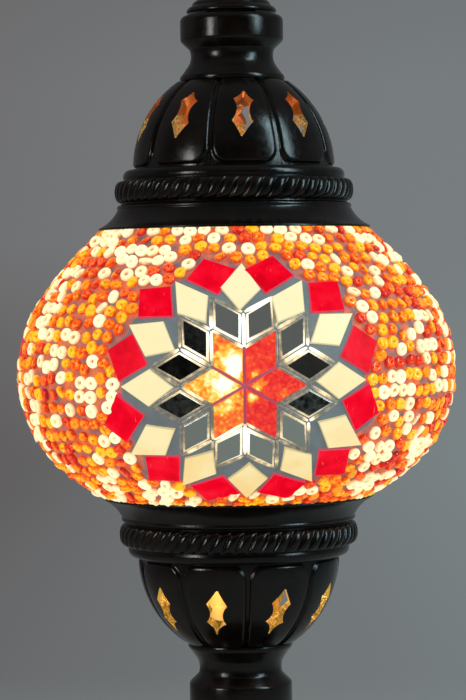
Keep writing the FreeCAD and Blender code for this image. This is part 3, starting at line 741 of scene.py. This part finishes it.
def foot():
    rows = [(r, h, None, False) for r, h in softened(outline([
        (FOOT_R - 3.6, 3.0), (FOOT_R - 3.6, 1.25), (FOOT_R - 0.02, 1.25), (FOOT_R - 0.02, 2.6),
        ((61.8, 3.6), (60.8, 4.0)), ((56.6, 6.0), (54.2, 10.0)), (53.5, 10.8), (53.3, 18.4),
        (52.4, 18.6), ((52.4, 20.8), (50.4, 22.4)), (48.6, 22.75),
    ]), 0.35)[1:]]
    arc = [(48.4, 22.8)] + arc_points((48.4, 22.8), (39.6, 33.4), (21.0, 37.4), 0.7)
    s, length = 0.0, sum(math.dist(p, q) for p, q in zip(arc, arc[1:]))
    for i, (r, h) in enumerate(arc):
        if i:
            s += math.dist(arc[i - 1], arc[i])
        a, b = arc[max(i - 1, 0)], arc[min(i + 1, len(arc) - 1)]
        t = math.hypot(b[0] - a[0], b[1] - a[1])
        normal = ((b[1] - a[1]) / t, -(b[0] - a[0]) / t)
        rows.append((r, h, (*normal, s, 0.8, length + 6.0, 5.5), False))
    rows += [(r, h, None, False) for r, h in ((20.4, 37.9), (20.0, 39.45), (5.3, 39.45), (5.3, 35.0))]
    rows += [(r, h, None, True) for r, h in outline([
        (19.0, 34.6), ((37.0, 30.8), (45.4, 21.6)), (50.2, 18.0), (50.6, 9.6), ((54.2, 5.0), (56.4, 3.0)),
    ], 2.0)]
    points, faces, _ = relief_casting(rows, upright(0.0), FOOT_LOBES, 36)
    make("foot", points, faces, [bronze], "stand", ["foot_casting"], sharp=50)


cap_place, bowl_place = upright(UPPER_RIM_Z), inverted(LOWER_RIM_Z)
dome("cap_shell", cap_place, CAP_TURN, "cap", "cap_dome", cap_inside, (0.6, 0.06, -0.37), 6.0, 0.0)
dome("bowl_shell", bowl_place, BOWL_TURN, "stand", "bowl_dome", bowl_inside, (0.42, 0.0, -0.4), -8.0, -0.6)
rope("cap_rope", cap_place, *DOME_ROPE, "cap")
rope("bowl_rope", bowl_place, *DOME_ROPE, "stand")
rope("foot_rope", upright(0.0), *FOOT_ROPE, "stand")
flared("cap_flare", cap_place, "cap", "cap_ring")
flared("bowl_flare", bowl_place, "stand", "bowl_ring")
knob("cap_knob_cast", upright(low("cap_knob")), "cap", "cap_knob")
knob("stem_knob_cast", inverted(high("stem_knob")), "stand", "stem_knob")
foot()


def boss():
    """The cord's boss at the back of the foot, a stub with a rounded edge."""
    face_y, root_y, radius, bore_r, z0 = 58.4, 50.0, 6.5, 4.05, 10.2
    turns = [math.tau * i / 64 for i in range(64)]
    points, rings = [], []
    for r, y in softened([(bore_r, root_y), (radius, root_y), (radius, face_y), (bore_r, face_y)], 0.8):
        add_ring(points, rings, [(r * math.cos(a), y, z0 + r * math.sin(a)) for a in turns])
    make("foot_boss", points, ring_faces(rings), [bronze], "stand")


boss()

stem_h = high("stem_baluster") - low("stem_baluster")
cast("stem", lifted([
    (5.3, 0.0), (16.0, 0.0), ((16.8, 1.6), (15.2, 3.2)), (12.2, 4.0), ((10.6, 7.0), (12.4, 10.0)),
    ((17.4, 18.0), (11.4, 26.4)), ((9.2, 29.6), (9.8, 31.6)), (12.0, 32.0), ((13.4, 33.2), (12.4, 34.6)),
    (12.4, stem_h - 4.6), (14.6, stem_h - 4.2), (15.0, stem_h - 2.4), (16.8, stem_h - 2.0), (17.4, stem_h),
    (5.3, stem_h),
], upright(low("stem_baluster"))), "stand", "stem_baluster")

cast("finial_cast", lifted([
    (3.1, 0.0), (16.7, 0.0), (16.85, 0.8), (16.0, 1.9), (14.9, 2.5), (14.4, 3.6), (13.7, 4.3), (12.8, 4.8),
    (12.0, 6.4), ((9.4, 8.0), (7.2, 11.4)), (6.6, 12.0), ((8.8, 13.6), (6.6, 15.2)), (5.6, 15.8),
    ((10.6, 22.4), (5.6, 30.0)), ((2.6, 34.4), (1.8, 38.98)), ((2.3, 41.3), (0.0, 42.96)),
    (0.0, 7.0), (3.1, 7.0),
], upright(low("finial_spire"))), "finial", "finial_spire", 200)


# ---- the globe's surface --------------------------------------------------------------------------
def globe_half(radius, end_angle, rim_r, rim_dz, side):
    first = ((GLOBE_R - radius, EQUATOR_Z), radius)
    a = math.radians(end_angle)
    normal = (math.cos(a), side * math.sin(a))
    meet = (first[0][0] + radius * normal[0], EQUATOR_Z + radius * normal[1])
    d = (rim_r - meet[0], EQUATOR_Z + rim_dz - meet[1])
    flat = -(d[0] ** 2 + d[1] ** 2) / (2 * (d[0] * normal[0] + d[1] * normal[1]))
    return first, ((meet[0] - flat * normal[0], meet[1] - flat * normal[1]), flat)


UPPER = globe_half(UPPER_ARC_R, UPPER_ARC_END, UPPER_RIM_R, UPPER_RIM_Z - EQUATOR_Z, 1)
LOWER = globe_half(LOWER_ARC_R, LOWER_ARC_END, LOWER_RIM_R, LOWER_RIM_Z - EQUATOR_Z, -1)


def globe_at(z, depth):
    """Radius of the surface and its normal (nr, nz) at height z, at a depth below the beads' crowns."""
    side, end = (1, UPPER_ARC_END) if z >= EQUATOR_Z else (-1, LOWER_ARC_END)
    first, second = UPPER if side > 0 else LOWER
    join = EQUATOR_Z + side * (first[1] - depth) * math.sin(math.radians(end))
    centre, radius = first if (z - join) * side <= 0 else second
    radius -= depth
    across = math.sqrt(radius ** 2 - (z - centre[1]) ** 2)
    return centre[0] + across, (across / radius, (z - centre[1]) / radius)


# Lengths along the grout's surface at a ladder of heights.
STEP = 0.25
heights, lengths = [SKIN_LOW], [0.0]
while heights[-1] < SKIN_HIGH - 1e-6:
    z = min(heights[-1] + STEP, SKIN_HIGH)
    across = globe_at(z, GROUT_TOP)[0] - globe_at(heights[-1], GROUT_TOP)[0]
    lengths.append(lengths[-1] + math.hypot(z - heights[-1], across))
    heights.append(z)
MIDDLE_S = float(np.interp(EQUATOR_Z + ROSETTE_Z, heights, lengths))
TOTAL_S = lengths[-1]


def skin_at(s, depth=GROUT_TOP):
    """Height, radius and normal of the surface s mm up along it."""
    z = float(np.interp(s, lengths, heights))
    return z, *globe_at(z, depth)


def on_globe(u, v, lift, azimuth):
    """The point u mm right of a rosette's middle, v mm up the surface from it and lift mm off the grout."""
    z, r, (nr, nz) = skin_at(MIDDLE_S + v)
    return Vector(around(r + nr * lift, math.radians(azimuth) + u / r, z + nz * lift))


def polar(radius, angle):
    return (radius * math.cos(math.radians(angle)), radius * math.sin(math.radians(angle)))


# The rosette's star-shaped outline.
EDGE = np.array([polar(*place) for i in range(12) for place in (
    (CREAM_OUT + NOTCH_OUT * (i % 2), 30 * i), (RED_SIDE, 30 * i + 15 - RED_SPREAD),
    (RED_OUT, 30 * i + 15), (RED_SIDE, 30 * i + 15 + RED_SPREAD),
)])


def edge_distance(uv):
    """Distance of (n, 2) points to the rosette's outline, below 0 inside, and the nearest points on it."""
    a, b = EDGE, np.roll(EDGE, -1, 0)
    d = b - a
    t = np.clip(((uv[:, None] - a) * d).sum(2) / (d ** 2).sum(1), 0, 1)
    near = a + d * t[..., None]
    gap = np.linalg.norm(uv[:, None] - near, axis=2)
    best = gap.argmin(1)
    x, y = uv[:, 0, None], uv[:, 1, None]
    left_of = x < d[:, 0] * (y - a[:, 1]) / np.where(d[:, 1] == 0, 1e-9, d[:, 1]) + a[:, 0]
    inside = (((a[:, 1] > y) != (b[:, 1] > y)) & left_of).sum(1) % 2 == 1
    pick = np.arange(len(uv))
    return np.where(inside, -gap[pick, best], gap[pick, best]), near[pick, best]


def to_rosette(azimuth, s, r):
    """(u, v) of places on the globe from the nearest rosette's middle."""
    pitch = 360.0 / ROSETTES
    off = (azimuth - ROSETTE_TURN + pitch / 2) % pitch - pitch / 2
    return np.stack([np.radians(off) * r, s - MIDDLE_S], -1)


# ---- grout --------------------------------------------------------------------------------------------
def grout_coat():
    columns = 400
    stations = np.linspace(0, TOTAL_S, 140)
    turns = np.arange(columns) * 360.0 / columns
    points, rings, bed, warm = [], [], [], []
    for s in stations:
        z, r, (nr, nz) = skin_at(s)
        uv = to_rosette(turns, np.full(columns, s), r)
        gap, _ = edge_distance(uv)
        in_rosette = np.clip(-gap / 1.2 + 0.1, 0, 1)
        margin = min(1.0, min(s, TOTAL_S - s) / 3.0)
        ring = []
        for a, k in zip(np.radians(turns), in_rosette):
            place = Vector(around(r, a, z))
            rough = 0.22 * noise.noise(place * 0.33) + 0.1 * noise.noise(place * 1.1)
            lift = (BED_LIFT * k + rough * (1 - 0.6 * k)) * margin
            ring.append(around(r + nr * lift, a, z + nz * lift))
        add_ring(points, rings, ring)
        bed += in_rosette.tolist()
        # warm: the grout round the star, where the star's pink light is painted.
        warm += np.clip((13.4 - np.linalg.norm(uv, axis=1)) / 1.5, 0, 1).tolist()
    for s in stations[::-6]:
        z, r, _ = skin_at(s, GLASS_TOP)
        add_ring(points, rings, [around(r, a, z) for a in np.radians(turns)])
        bed += [0.0] * columns
        warm += [0.0] * columns
    make("grout_coat", points, ring_faces(rings), [grout], "globe", ["globe_grout"],
         values={"bed": bed, "warm": warm})


grout_coat()


# ---- tiles --------------------------------------------------------------------------------------------
def rosette_plan():
    """Each group's joint and corner lists, in mm from the rosette's middle."""
    side, tip = STAR_SIDE, STAR_SIDE * math.sqrt(3)

    def plus(a, b):
        return (a[0] + b[0], a[1] + b[1])

    def kite(inside, beside, outside, spread, angle):
        return [polar(inside, angle), polar(beside, angle + spread),
                polar(outside, angle), polar(beside, angle - spread)]

    star, mirrors, cream, red = [], [], [], []
    for i in range(6):
        angle = 60 * i
        star.append([(0, 0), polar(side, angle - 30), polar(tip, angle), polar(side, angle + 30)])
        edge = polar(side, angle + 30)
        for point in (polar(tip, angle), polar(tip, angle + 60)):
            mirrors.append([edge, point, plus(point, edge), plus(edge, edge)])
    for i in range(12):
        shift = NOTCH_OUT * (i % 2)
        cream.append(kite(CREAM_IN + shift, CREAM_SIDE + shift, CREAM_OUT + shift, CREAM_SPREAD, 30 * i))
        red.append(kite(RED_IN, RED_SIDE, RED_OUT, RED_SPREAD, 30 * i + 15))
    return star, mirrors, cream, red


STAR, MIRRORS, CREAMS, REDS = rosette_plan()

# Where light leaks out along the mirrors: (u, v, strength), in mm from a rosette's middle.
LEAKS = [
    (-0.2, 13.5, 0.9), (-0.2, 17.0, 1.0), (-0.2, 20.5, 1.0), (0.0, 23.6, 0.9), (3.0, 26.2, 0.9),
    (6.0, 28.0, 0.9), (9.0, 29.8, 0.7), (-10.2, 21.5, 0.9), (-11.4, 18.0, 0.9), (-11.4, 14.8, 0.9),
    (-11.2, 11.4, 0.7), (-22.0, 12.2, 0.8), (-18.5, 10.8, 1.0), (-15.0, 9.4, 1.0), (-24.4, 3.4, 0.5),
    (-20.5, -2.8, 0.9), (-17.0, -4.6, 0.9), (-9.6, -17.8, 0.7), (-6.6, -16.0, 0.9), (-3.4, -14.4, 0.9),
    (-18.5, -22.4, 0.7), (-14.5, -19.6, 0.5), (1.4, -15.4, 0.9), (1.4, -18.6, 1.0), (1.5, -22.0, 0.9),
    (-6.0, -26.0, 0.7), (-2.4, -23.8, 0.8), (5.0, -26.8, 0.5), (9.2, -28.4, 0.5), (22.6, -13.2, 1.0),
    (13.4, -17.8, 0.7), (15.0, 10.0, 0.8), (18.4, 12.0, 0.9), (21.6, 13.4, 0.9), (25.4, 12.2, 0.9),
    (29.0, 10.6, 0.7), (16.0, 22.4, 0.4), (12.4, 20.6, 0.4), (27.0, -1.6, 0.4), (30.0, -3.0, 0.4),
]
# Where the bulb shines through the star's bubbly glass: (u, v, strength, spread).
HEATS = [
    (-3.4, 5.6, 0.75, 2.0), (-2.4, 8.4, 0.42, 1.8), (-5.6, 9.4, 0.3, 2.6), (-6.4, 0.9, 0.7, 1.8),
    (-11.0, 1.6, 0.2, 3.2), (2.2, -3.6, 0.6, 1.5), (-6.4, -6.2, 0.28, 2.8), (4.6, -0.4, 0.42, 1.4),
    (3.4, 3.6, 0.46, 1.2), (14.0, -3.4, 0.3, 1.3),
]
# How much of the bulb's light is painted on each of the star's rhombi away from those spots.
STAR_BASE = [0.26, 0.26, 0.50, 0.58, 0.47, 0.22]
# How much painted reflection each mirror shows, and how far each hand-laid tile is off its drawn place
# (right, up).
MIRROR_REFLECTION_LEVELS = [0.42, 0.7, 0.6, 0.62, 0.2, 0.1, 0.0, 0.62, 0.66, 0.66, 0.66, 0.0]
CREAM_OFF = [(-1.3, 1.1), (-1.6, 0.0), (-1.8, -1.6), (-0.7, -1.9), (0.0, -1.0), (0.8, -2.4),
             (1.3, -0.3), (0.6, -0.8), (1.8, 0.0), (1.4, 0.0), (0.7, 0.8), (0.9, 1.4)]
RED_OFF = [(-0.7, 0.0), (-1.5, 0.0), (-1.8, -1.2), (0.7, -1.5), (0.6, -1.5), (0.8, -1.5),
           (-1.2, 0.0), (2.4, 0.0), (1.4, 0.0), (1.7, 0.4), (0.4, 1.3), (0.0, 3.2)]


def heat_at(u, v, base, spots, spread=None):
    """Base plus the spots' round glows. Spread is for spots that don't name their own."""
    total = base
    for spot in spots:
        w = spread or spot[3]
        total += spot[2] * math.exp(-((u - spot[0]) ** 2 + (v - spot[1]) ** 2) / (2 * w * w))
    return total


def turned(x, y, degrees, growth=1.0):
    c, s = math.cos(math.radians(degrees)) * growth, math.sin(math.radians(degrees)) * growth
    return (x * c - y * s, x * s + y * c)


def centre(corners):
    return sum(c[0] for c in corners) / 4, sum(c[1] for c in corners) / 4


def laid(corners, off, growth, twist):
    """The tile moved, grown and turned about its middle."""
    cx, cy = centre(corners)
    moved = [turned(x - cx, y - cy, twist, growth) for x, y in corners]
    return [(cx + off[0] + x, cy + off[1] + y) for x, y in moved]


def shrunk(corners, inset):
    """Quad corners moved in by inset from every edge."""
    cx, cy = centre(corners)
    room = 1e9
    for i in range(4):
        (ax, ay), (bx, by) = corners[i - 1], corners[i]
        room = min(room, abs((bx - ax) * (ay - cy) - (ax - cx) * (by - ay)) / math.hypot(bx - ax, by - ay))
    k = 1 - inset / room
    return [(cx + (x - cx) * k, cy + (y - cy) * k) for x, y in corners]


class Tiles:
    """Collects hand-cut flat tiles and makes one piece of them."""

    def __init__(self, seed, sunk=0.0):
        self.random, self.sunk = random.Random(seed), sunk
        self.points, self.faces, self.picks = [], [], []
        self.rim, self.tone, self.heat = [], [], []

    def add(self, corners, gap, azimuth, bevel, n, wander, tone=None, heat=None, wave=0.0):
        """A tile whose face has n by n cells; heat gives a place's shine, wave ripples the face."""
        rnd = self.random
        tone = rnd.random() if tone is None else tone
        corners = [(x + rnd.uniform(-wander, wander), y + rnd.uniform(-wander, wander))
                   for x, y in shrunk(corners, gap / 2)]
        cx, cy = centre(corners)
        middle = on_globe(cx, cy, 0, azimuth)
        normal = (on_globe(cx + 1, cy, 0, azimuth) - on_globe(cx - 1, cy, 0, azimuth)).cross(
            on_globe(cx, cy + 1, 0, azimuth) - on_globe(cx, cy - 1, 0, azimuth)).normalized()
        tilt = (rnd.uniform(-0.012, 0.012), rnd.uniform(-0.012, 0.012))

        def add_point(x, y, lift, rim):
            p = on_globe(x, y, 0, azimuth)
            p = p - normal * (p - middle).dot(normal)
            p = p + normal * (lift - self.sunk + (x - cx) * tilt[0] + (y - cy) * tilt[1])
            self.points.append(tuple(p))
            self.rim.append(rim)
            self.tone.append(tone)
            self.heat.append(heat(x, y) if heat else 0.0)

        # The sides: three rings of corners, the last one inside the rounded edge.
        rings = []
        layers = [(0.0, -0.9, 1.0), (0.0, TILE_T - bevel, 1.0), (bevel * 0.4, TILE_T - bevel * 0.3, 0.8)]
        for inset, lift, rim in layers:
            rings.append(range(len(self.points), len(self.points) + 4))
            for x, y in shrunk(corners, inset):
                add_point(x, y, lift, rim)
        self.faces += [rings[0][::-1], *ring_faces(rings, closed=False)]
        self.picks += [1] * 9
        # The face: a grid, then the bevel from its border to the last ring.
        top = shrunk(corners, bevel)
        start = len(self.points)
        for row, col in np.ndindex(n + 1, n + 1):
            s, t = col / n, row / n
            x, y = ((a * (1 - s) + b * s) * (1 - t) + (d * (1 - s) + c * s) * t for a, b, c, d in zip(*top))
            inner = 0 < row < n and 0 < col < n
            ripple = wave * noise.noise(Vector((x, y, azimuth)) * 0.5) if inner else 0.0
            add_point(x, y, TILE_T + ripple - wave, 0.0)
        for row, col in np.ndindex(n, n):
            a = start + row * (n + 1) + col
            self.faces.append((a, a + 1, a + n + 2, a + n + 1))
            self.picks.append(0)
        border = [start + c for c in range(n)] + [start + n + r * (n + 1) for r in range(n)]
        border += [start + n * (n + 2) - c for c in range(n)] + [start + (n - r) * (n + 1) for r in range(n)]
        border.append(start)
        for side in range(4):
            here, after = rings[2][side], rings[2][(side + 1) % 4]
            for i in range(n):
                a, b = border[side * n + i:side * n + i + 2]
                outer = (here, after) if i == n // 2 else (here,) if i < n // 2 else (after,)
                self.faces.append((*outer, b, a))
                self.picks.append(1)

    def done(self, name, shades, slot, node):
        return make(name, self.points, self.faces, shades, "globe", [node], picks=self.picks,
                    values={"rim": self.rim, "tone": self.tone, "shine": self.heat}, sharp=20)


star_tiles, mirror_tiles, cream_tiles, red_tiles = Tiles(11), Tiles(12), Tiles(13, 0.2), Tiles(14, 0.3)
spin = random.Random(5)
for k in range(ROSETTES):
    azimuth = ROSETTE_TURN + 360.0 * k / ROSETTES
    for i, corners in enumerate(STAR):
        star_tiles.add(corners, TILE_GAP, azimuth, 0.3, 16, 0.12, wave=0.12,
                       heat=lambda x, y, i=i: heat_at(x, y, STAR_BASE[i], HEATS))
    for i, corners in enumerate(MIRRORS):
        mirror_tiles.add(corners, MIRROR_GAP, azimuth, 0.75, 4, 0.2, MIRROR_REFLECTION_LEVELS[i],
                         lambda x, y: heat_at(x, y, 0.12, LEAKS, 2.0))
    for i in range(12):
        j = (i + 5 * k) % 12
        cream_off, red_off = turned(*CREAM_OFF[j], 30 * (i - j)), turned(*RED_OFF[j], 30 * (i - j))
        cream_tiles.add(laid(CREAMS[i], cream_off, 1.09, spin.uniform(-3, 3)), 0.2, azimuth, 0.3, 1, 0.3)
        red_tiles.add(laid(REDS[i], red_off, 1.1, spin.uniform(-4, 4)), 0.2, azimuth, 0.3, 1, 0.35)
star_tiles.done("star_tiles", [star_red, star_red], "star_red", "tiles_star_red")
mirror_tiles.done("mirror_tiles", [mirror, mirror_edge], "mirror", "tiles_mirror")
cream_tiles.done("cream_tiles", [cream_glass, cream_glass], "cream_glass", "tiles_cream")
red_tiles.done("red_tiles", [red_glass, red_glass], "red_glass", "tiles_outer_red")


def glue_lines():
    """Clear glue in the joints round the mirrors, which the bulb lights."""
    seen, points, faces, heat = set(), [], [], []
    half_w, foot_lift, height, across, along = 0.82, 0.6, 1.15, 6, 9

    def rounded(corner):
        return tuple(round(c, 1) + 0.0 for c in corner)

    for k in range(ROSETTES):
        azimuth = ROSETTE_TURN + 360.0 * k / ROSETTES
        for corners in MIRRORS:
            for i in range(4):
                a, b = corners[i - 1], corners[i]
                key = (k, *sorted((rounded(a), rounded(b))))
                if key in seen:
                    continue
                seen.add(key)
                length = math.dist(a, b)
                dx, dy = (b[0] - a[0]) / length, (b[1] - a[1]) / length
                rings = []
                for j in range(along + 1):
                    t = 0.04 + 0.92 * j / along
                    x, y = a[0] + (b[0] - a[0]) * t, a[1] + (b[1] - a[1]) * t
                    hot = heat_at(x, y, 0.06, LEAKS, 1.7)
                    end = min(1.0, 4.0 * min(t, 1 - t) + 0.35)
                    ring = []
                    for q in (math.pi * c / (across - 1) for c in range(across)):
                        w = half_w * end * math.cos(q)
                        lift = foot_lift + height * math.sin(q) * (0.75 + 0.25 * min(1, hot))
                        ring.append(on_globe(x - dy * w, y + dx * w, lift, azimuth))
                    add_ring(points, rings, ring)
                    heat += [hot] * across
                faces += [*ring_faces(rings, closed=False), rings[0], rings[-1]]
    make("glue_lines", points, faces, [clear_glue], "globe", values={"shine": heat})


glue_lines()


# ---- beads --------------------------------------------------------------------------------------------
def bead_places():
    """Places of the loose beads as (azimuth, s): rows, jittered, then pushed apart."""
    rnd = random.Random(7)
    gap_s, gap_u, margin, rounds = 5.0, 5.3, 2.7, 22
    room, want, closest = BEAD_R + 0.35, 2 * BEAD_R - 0.05, 4.1
    rows = int((TOTAL_S - 2 * margin) / gap_s) + 1
    spots = []
    for j in range(rows):
        s = margin + (TOTAL_S - 2 * margin) * j / (rows - 1)
        r = skin_at(s)[1]
        count = int(math.tau * r / gap_u)
        start = rnd.random() * 360
        for i in range(count):
            aside = math.degrees(rnd.uniform(-1.7, 1.7) / r)
            spots.append([start + 360.0 * i / count + aside, s + rnd.uniform(-1.5, 1.5)])

    def measured(spots):
        """The spots' s, z, r, distance to the rosette's edge, and (u, v) from its nearest point."""
        s = np.clip(spots[:, 1], margin, TOTAL_S - margin)
        z, r = np.array([skin_at(x)[:2] for x in s]).T
        uv = to_rosette(spots[:, 0], s, r)
        gap, near = edge_distance(uv)
        return s, z, r, gap, uv - near

    spots = np.array(spots)
    spots = spots[measured(spots)[3] > -1.6]
    for _ in range(rounds):
        s, z, r, gap, away = measured(spots)
        length = np.maximum(np.linalg.norm(away, axis=1), 1e-6)
        push = np.where(gap < room, room - gap, 0.0) * np.where(gap < 0, -1.0, 1.0) / length
        move = away * push[:, None]
        a = np.radians(spots[:, 0])
        xyz = np.stack([r * np.sin(a), -r * np.cos(a), z], -1)
        tree = kdtree.KDTree(len(xyz))
        for i, p in enumerate(xyz):
            tree.insert(p, i)
        tree.balance()
        for i, p in enumerate(xyz):
            for _, j, d in tree.find_range(p, want):
                if j <= i:
                    continue
                du = math.radians((spots[i, 0] - spots[j, 0] + 180) % 360 - 180) * r[i]
                dv = s[i] - s[j]
                k = 0.5 * max(0.0, want - d) / max(math.hypot(du, dv), 1e-6)
                move[i] += (du * k, dv * k)
                move[j] -= (du * k, dv * k)
        move = np.clip(move * 0.6, -0.8, 0.8)
        spots = np.stack([spots[:, 0] + np.degrees(move[:, 0] / r), s + move[:, 1]], -1)
    s, z, r, gap, _ = measured(spots)
    kept, taken = [], []
    for azimuth, s, z, r in np.stack([spots[:, 0], s, z, r], -1)[gap > BEAD_R - 0.55]:
        p = Vector(around(r, math.radians(azimuth), z))
        if all((p - q).length > closest for q in taken[-260:]):
            taken.append(p)
            kept.append((azimuth, s))
    return kept


def bead_template(hole, around=16, section=8):
    """A squat ring with a hole of that share of its radius."""
    points, faces, crown = [], [], []
    middle, half = (1 + hole) / 2, (1 - hole) / 2
    for i in range(around):
        a = math.tau * i / around
        for j in range(section):
            q = math.tau * j / section
            r = middle + half * math.copysign(abs(math.cos(q)) ** 0.8, math.cos(q))
            height = 0.45 * math.copysign(abs(math.sin(q)) ** 0.75, math.sin(q))
            points.append((r * math.cos(a), r * math.sin(a), height))
            # Painted shade: the crown value is highest on top and lower at the foot, on the outer side and
            # most in the hole.
            shade = (0.12 if r > middle + 0.1 else 0.0) + (0.35 if r < hole + 0.1 else 0.0)
            crown.append(0.5 + 0.5 * math.sin(q) - shade)
            n, m = ((i + 1) % around) * section, (j + 1) % section
            faces.append((i * section + j, n + j, n + m, i * section + m))
    return np.array(points), np.array(faces), np.clip(np.array(crown), 0, 1)


def beads():
    rnd = random.Random(21)
    open_bead, closed_bead = bead_template(0.2), bead_template(0.07)
    groups = {name: ([], [], [], []) for name in bead_shades}
    for azimuth, s in bead_places():
        z, r, (nr, nz) = skin_at(s)
        a = math.radians(azimuth)
        place = Vector(around(r, a, z))
        patch = noise.noise(place * 0.075 + Vector((3.1, 7.7, 1.9))) * 0.62 + rnd.uniform(-0.5, 0.5)
        if patch > 0.14:
            name = "bead_cream"
        else:
            warm = noise.noise(place * 0.12 + Vector((9.2, 0.4, 5.5))) * 0.7 + rnd.uniform(-0.5, 0.5)
            name = "bead_amber" if warm > 0.04 else "bead_orange" if warm > -0.36 else "bead_red"
        outward = Vector(around(nr, a, nz))
        lean = 0.16 if rnd.random() < 0.8 or min(s, TOTAL_S - s) < 6 else 0.5
        normal = (outward + Vector([rnd.uniform(-lean, lean) for _ in range(3)])).normalized()
        side = normal.orthogonal().normalized()
        spun = rnd.random() * math.tau
        side = side * math.cos(spun) + normal.cross(side) * math.sin(spun)
        up = normal.cross(side)
        template, quads, crown = open_bead if name == "bead_cream" else closed_bead
        size = BEAD_R * (rnd.uniform(0.95, 1.06) if name == "bead_cream" else rnd.uniform(0.86, 1.0))
        wide, tall = rnd.uniform(0.9, 1.0), rnd.uniform(0.82, 0.96)
        axes = np.array([side * size * wide, up * size, normal * size * tall])
        middle = np.array(place + outward * BEAD_LIFT)
        points, faces, crowns, tones = groups[name]
        first = len(points) * len(template)
        points.append(template @ axes + middle)
        faces.append(quads + first)
        crowns.append(crown)
        tones.append(np.full(len(template), rnd.random()))
    for name, (points, faces, crowns, tones) in groups.items():
        make(name + "s", np.concatenate(points), np.concatenate(faces), [bead_shades[name]], "globe",
             ["bead_field"] if name == "bead_orange" else (),
             values={"crown": np.concatenate(crowns), "tone": np.concatenate(tones)})


beads()


# ---- lights, floor and backdrop ---------------------------------------------------------------------
middle = Vector((0, 0, 0.2))


def soft_box(name, azimuth, elevation, distance, size, power, color):
    light = bpy.data.lights.new(name, "AREA")
    light.shape, light.size, light.size_y = "RECTANGLE", size[0], size[1]
    light.energy, light.color = power, color
    lamp = new_object(name, light)
    a, e = math.radians(azimuth), math.radians(elevation)
    lamp.location = middle + distance * Vector(around(math.cos(e), a, math.sin(e)))
    lamp.rotation_euler = (middle - lamp.location).to_track_quat("-Z", "Y").to_euler()
    lamp.visible_camera = False


def small_light(name, place, power, color, size, body):
    light = bpy.data.lights.new(name, "POINT")
    light.energy, light.color, light.shadow_soft_size = power, color, size
    lamp = new_object(name, light)
    lamp.location = place
    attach(lamp, body)


soft_box("box_left", -48, 9, 1.5, (0.22, 0.5), 6.5, (1.0, 0.99, 0.96))
soft_box("box_right", 59, 28, 1.5, (0.3, 1.15), 15.0, (0.62, 0.88, 0.96))

bulb_z = (low("bulb_envelope") + high("bulb_envelope")) / 2 * MM + 0.008
small_light("bulb_light", (0, 0, bulb_z), 0.3, (1.0, 0.66, 0.3), 0.008, "bulb")
for n, (x, y, dz) in enumerate([(-0.025, -0.016, -0.022), (0.026, -0.014, -0.022), (0.0, 0.027, -0.024)]):
    place = (x, y, LOWER_RIM_Z * MM + dz)
    small_light("neck_light_%d" % n, place, 0.03, (1.0, 0.72, 0.34), 0.004, "stand")

# The lamp reflects a dark room in front of it and a grey one elsewhere; the camera sees plain grey.
world = bpy.data.worlds.new("studio")
bpy.context.scene.world = world
world.use_nodes = True
world.node_tree.nodes.clear()
w = Nodes(world.node_tree, "Generated")
behind = w.span(w.along("Y"), -0.35, 0.15)
steep = w.span(w.math("ABSOLUTE", w.along("Z")), 0.3, 0.75)
in_view = w.node("ShaderNodeLightPath").outputs["Is Camera Ray"]
pale = w.math("MAXIMUM", w.math("MAXIMUM", behind, steep), in_view)
background = w.node("ShaderNodeBackground")
w.wire(w.mix(pale, (0.012, 0.013, 0.014), (0.168, 0.17, 0.172)), background.inputs[0])
w.wire(background.outputs[0], w.node("ShaderNodeOutputWorld").inputs[0])


def backdrop():
    """A pale floor that turns up into a grey wall behind the lamp; away from the lamp both glow with painted
    light, lighter towards +X and darker up high and away from the middle.
    """
    bend_y, radius, half_width = 1.9, 1.6, 6.0
    bend = [math.radians(a) for a in range(0, 91, 5)]
    run = [(bend_y + radius * math.sin(a), radius - radius * math.cos(a)) for a in bend]
    run = [(-6.0, 0.0), *run, (bend_y + radius, 5.0)]
    points = [(x, y, z) for y, z in run for x in (-half_width, half_width)]
    faces = [(2 * i, 2 * i + 1, 2 * i + 3, 2 * i + 2) for i in range(len(run) - 1)]
    mesh = bpy.data.meshes.new("sweep")
    mesh.from_pydata(points, [], faces)
    smooth(mesh)
    s = Shade("sweep", roughness=0.9)
    x, y, z = (s.along(axis) for axis in "XYZ")

    def square(v):
        return s.math("MULTIPLY", v, v)

    # Near the lamp the floor is real and lit by the lamps; from 0.3 to 0.62 m out it turns into a glow of
    # painted light.
    wall = s.span(s.math("SQRT", s.math("ADD", square(x), square(y))), 0.3, 0.62)
    side = s.span(x, -0.75, 0.75)
    grey = s.mix(side, (0.158, 0.149, 0.151), (0.202, 0.232, 0.242))
    floor_grey = s.mix(s.span(x, -0.34, 0.34), (0.115, 0.105, 0.107), (0.208, 0.245, 0.253))
    grey = s.mix(s.span(z, 0.3, 0.02), grey, floor_grey)
    grey = s.mix(s.span(z, 0.55, 0.8, 0.0, 0.25), grey, (0.09, 0.09, 0.09))
    # Painted light: darker away from the middle, as round a pool of light.
    off_middle = s.math("ADD", square(x), square(s.math("SUBTRACT", z, 0.28)))
    grey = s.mix(s.span(off_middle, 0.0, 1.2, 0.0, 0.35), grey, (0.08, 0.08, 0.08))
    s.set("Base Color", s.mix(wall, (0.62, 0.6, 0.57), (0.0, 0.0, 0.0)))
    s.set("Specular IOR Level", 0.0)
    s.glow(grey, wall)
    mesh.materials.append(s.material)
    sweep = new_object("sweep", mesh)


backdrop()

# ---- camera and colour --------------------------------------------------------------------------------
data = bpy.data.cameras.new("camera")
data.sensor_width, data.lens = 36.0, 132.12
camera = new_object("camera", data)
camera.location = (0.0, -0.959, 0.2365)
camera.rotation_euler = (math.radians(90 - 1.45), math.radians(0.82), math.radians(0.05))
data.clip_start, data.clip_end = 0.05, 30.0
bpy.context.scene.camera = camera
bpy.context.scene.view_settings.view_transform = "Standard"
bpy.context.scene.view_settings.look = "None"

bpy.context.view_layer.update()
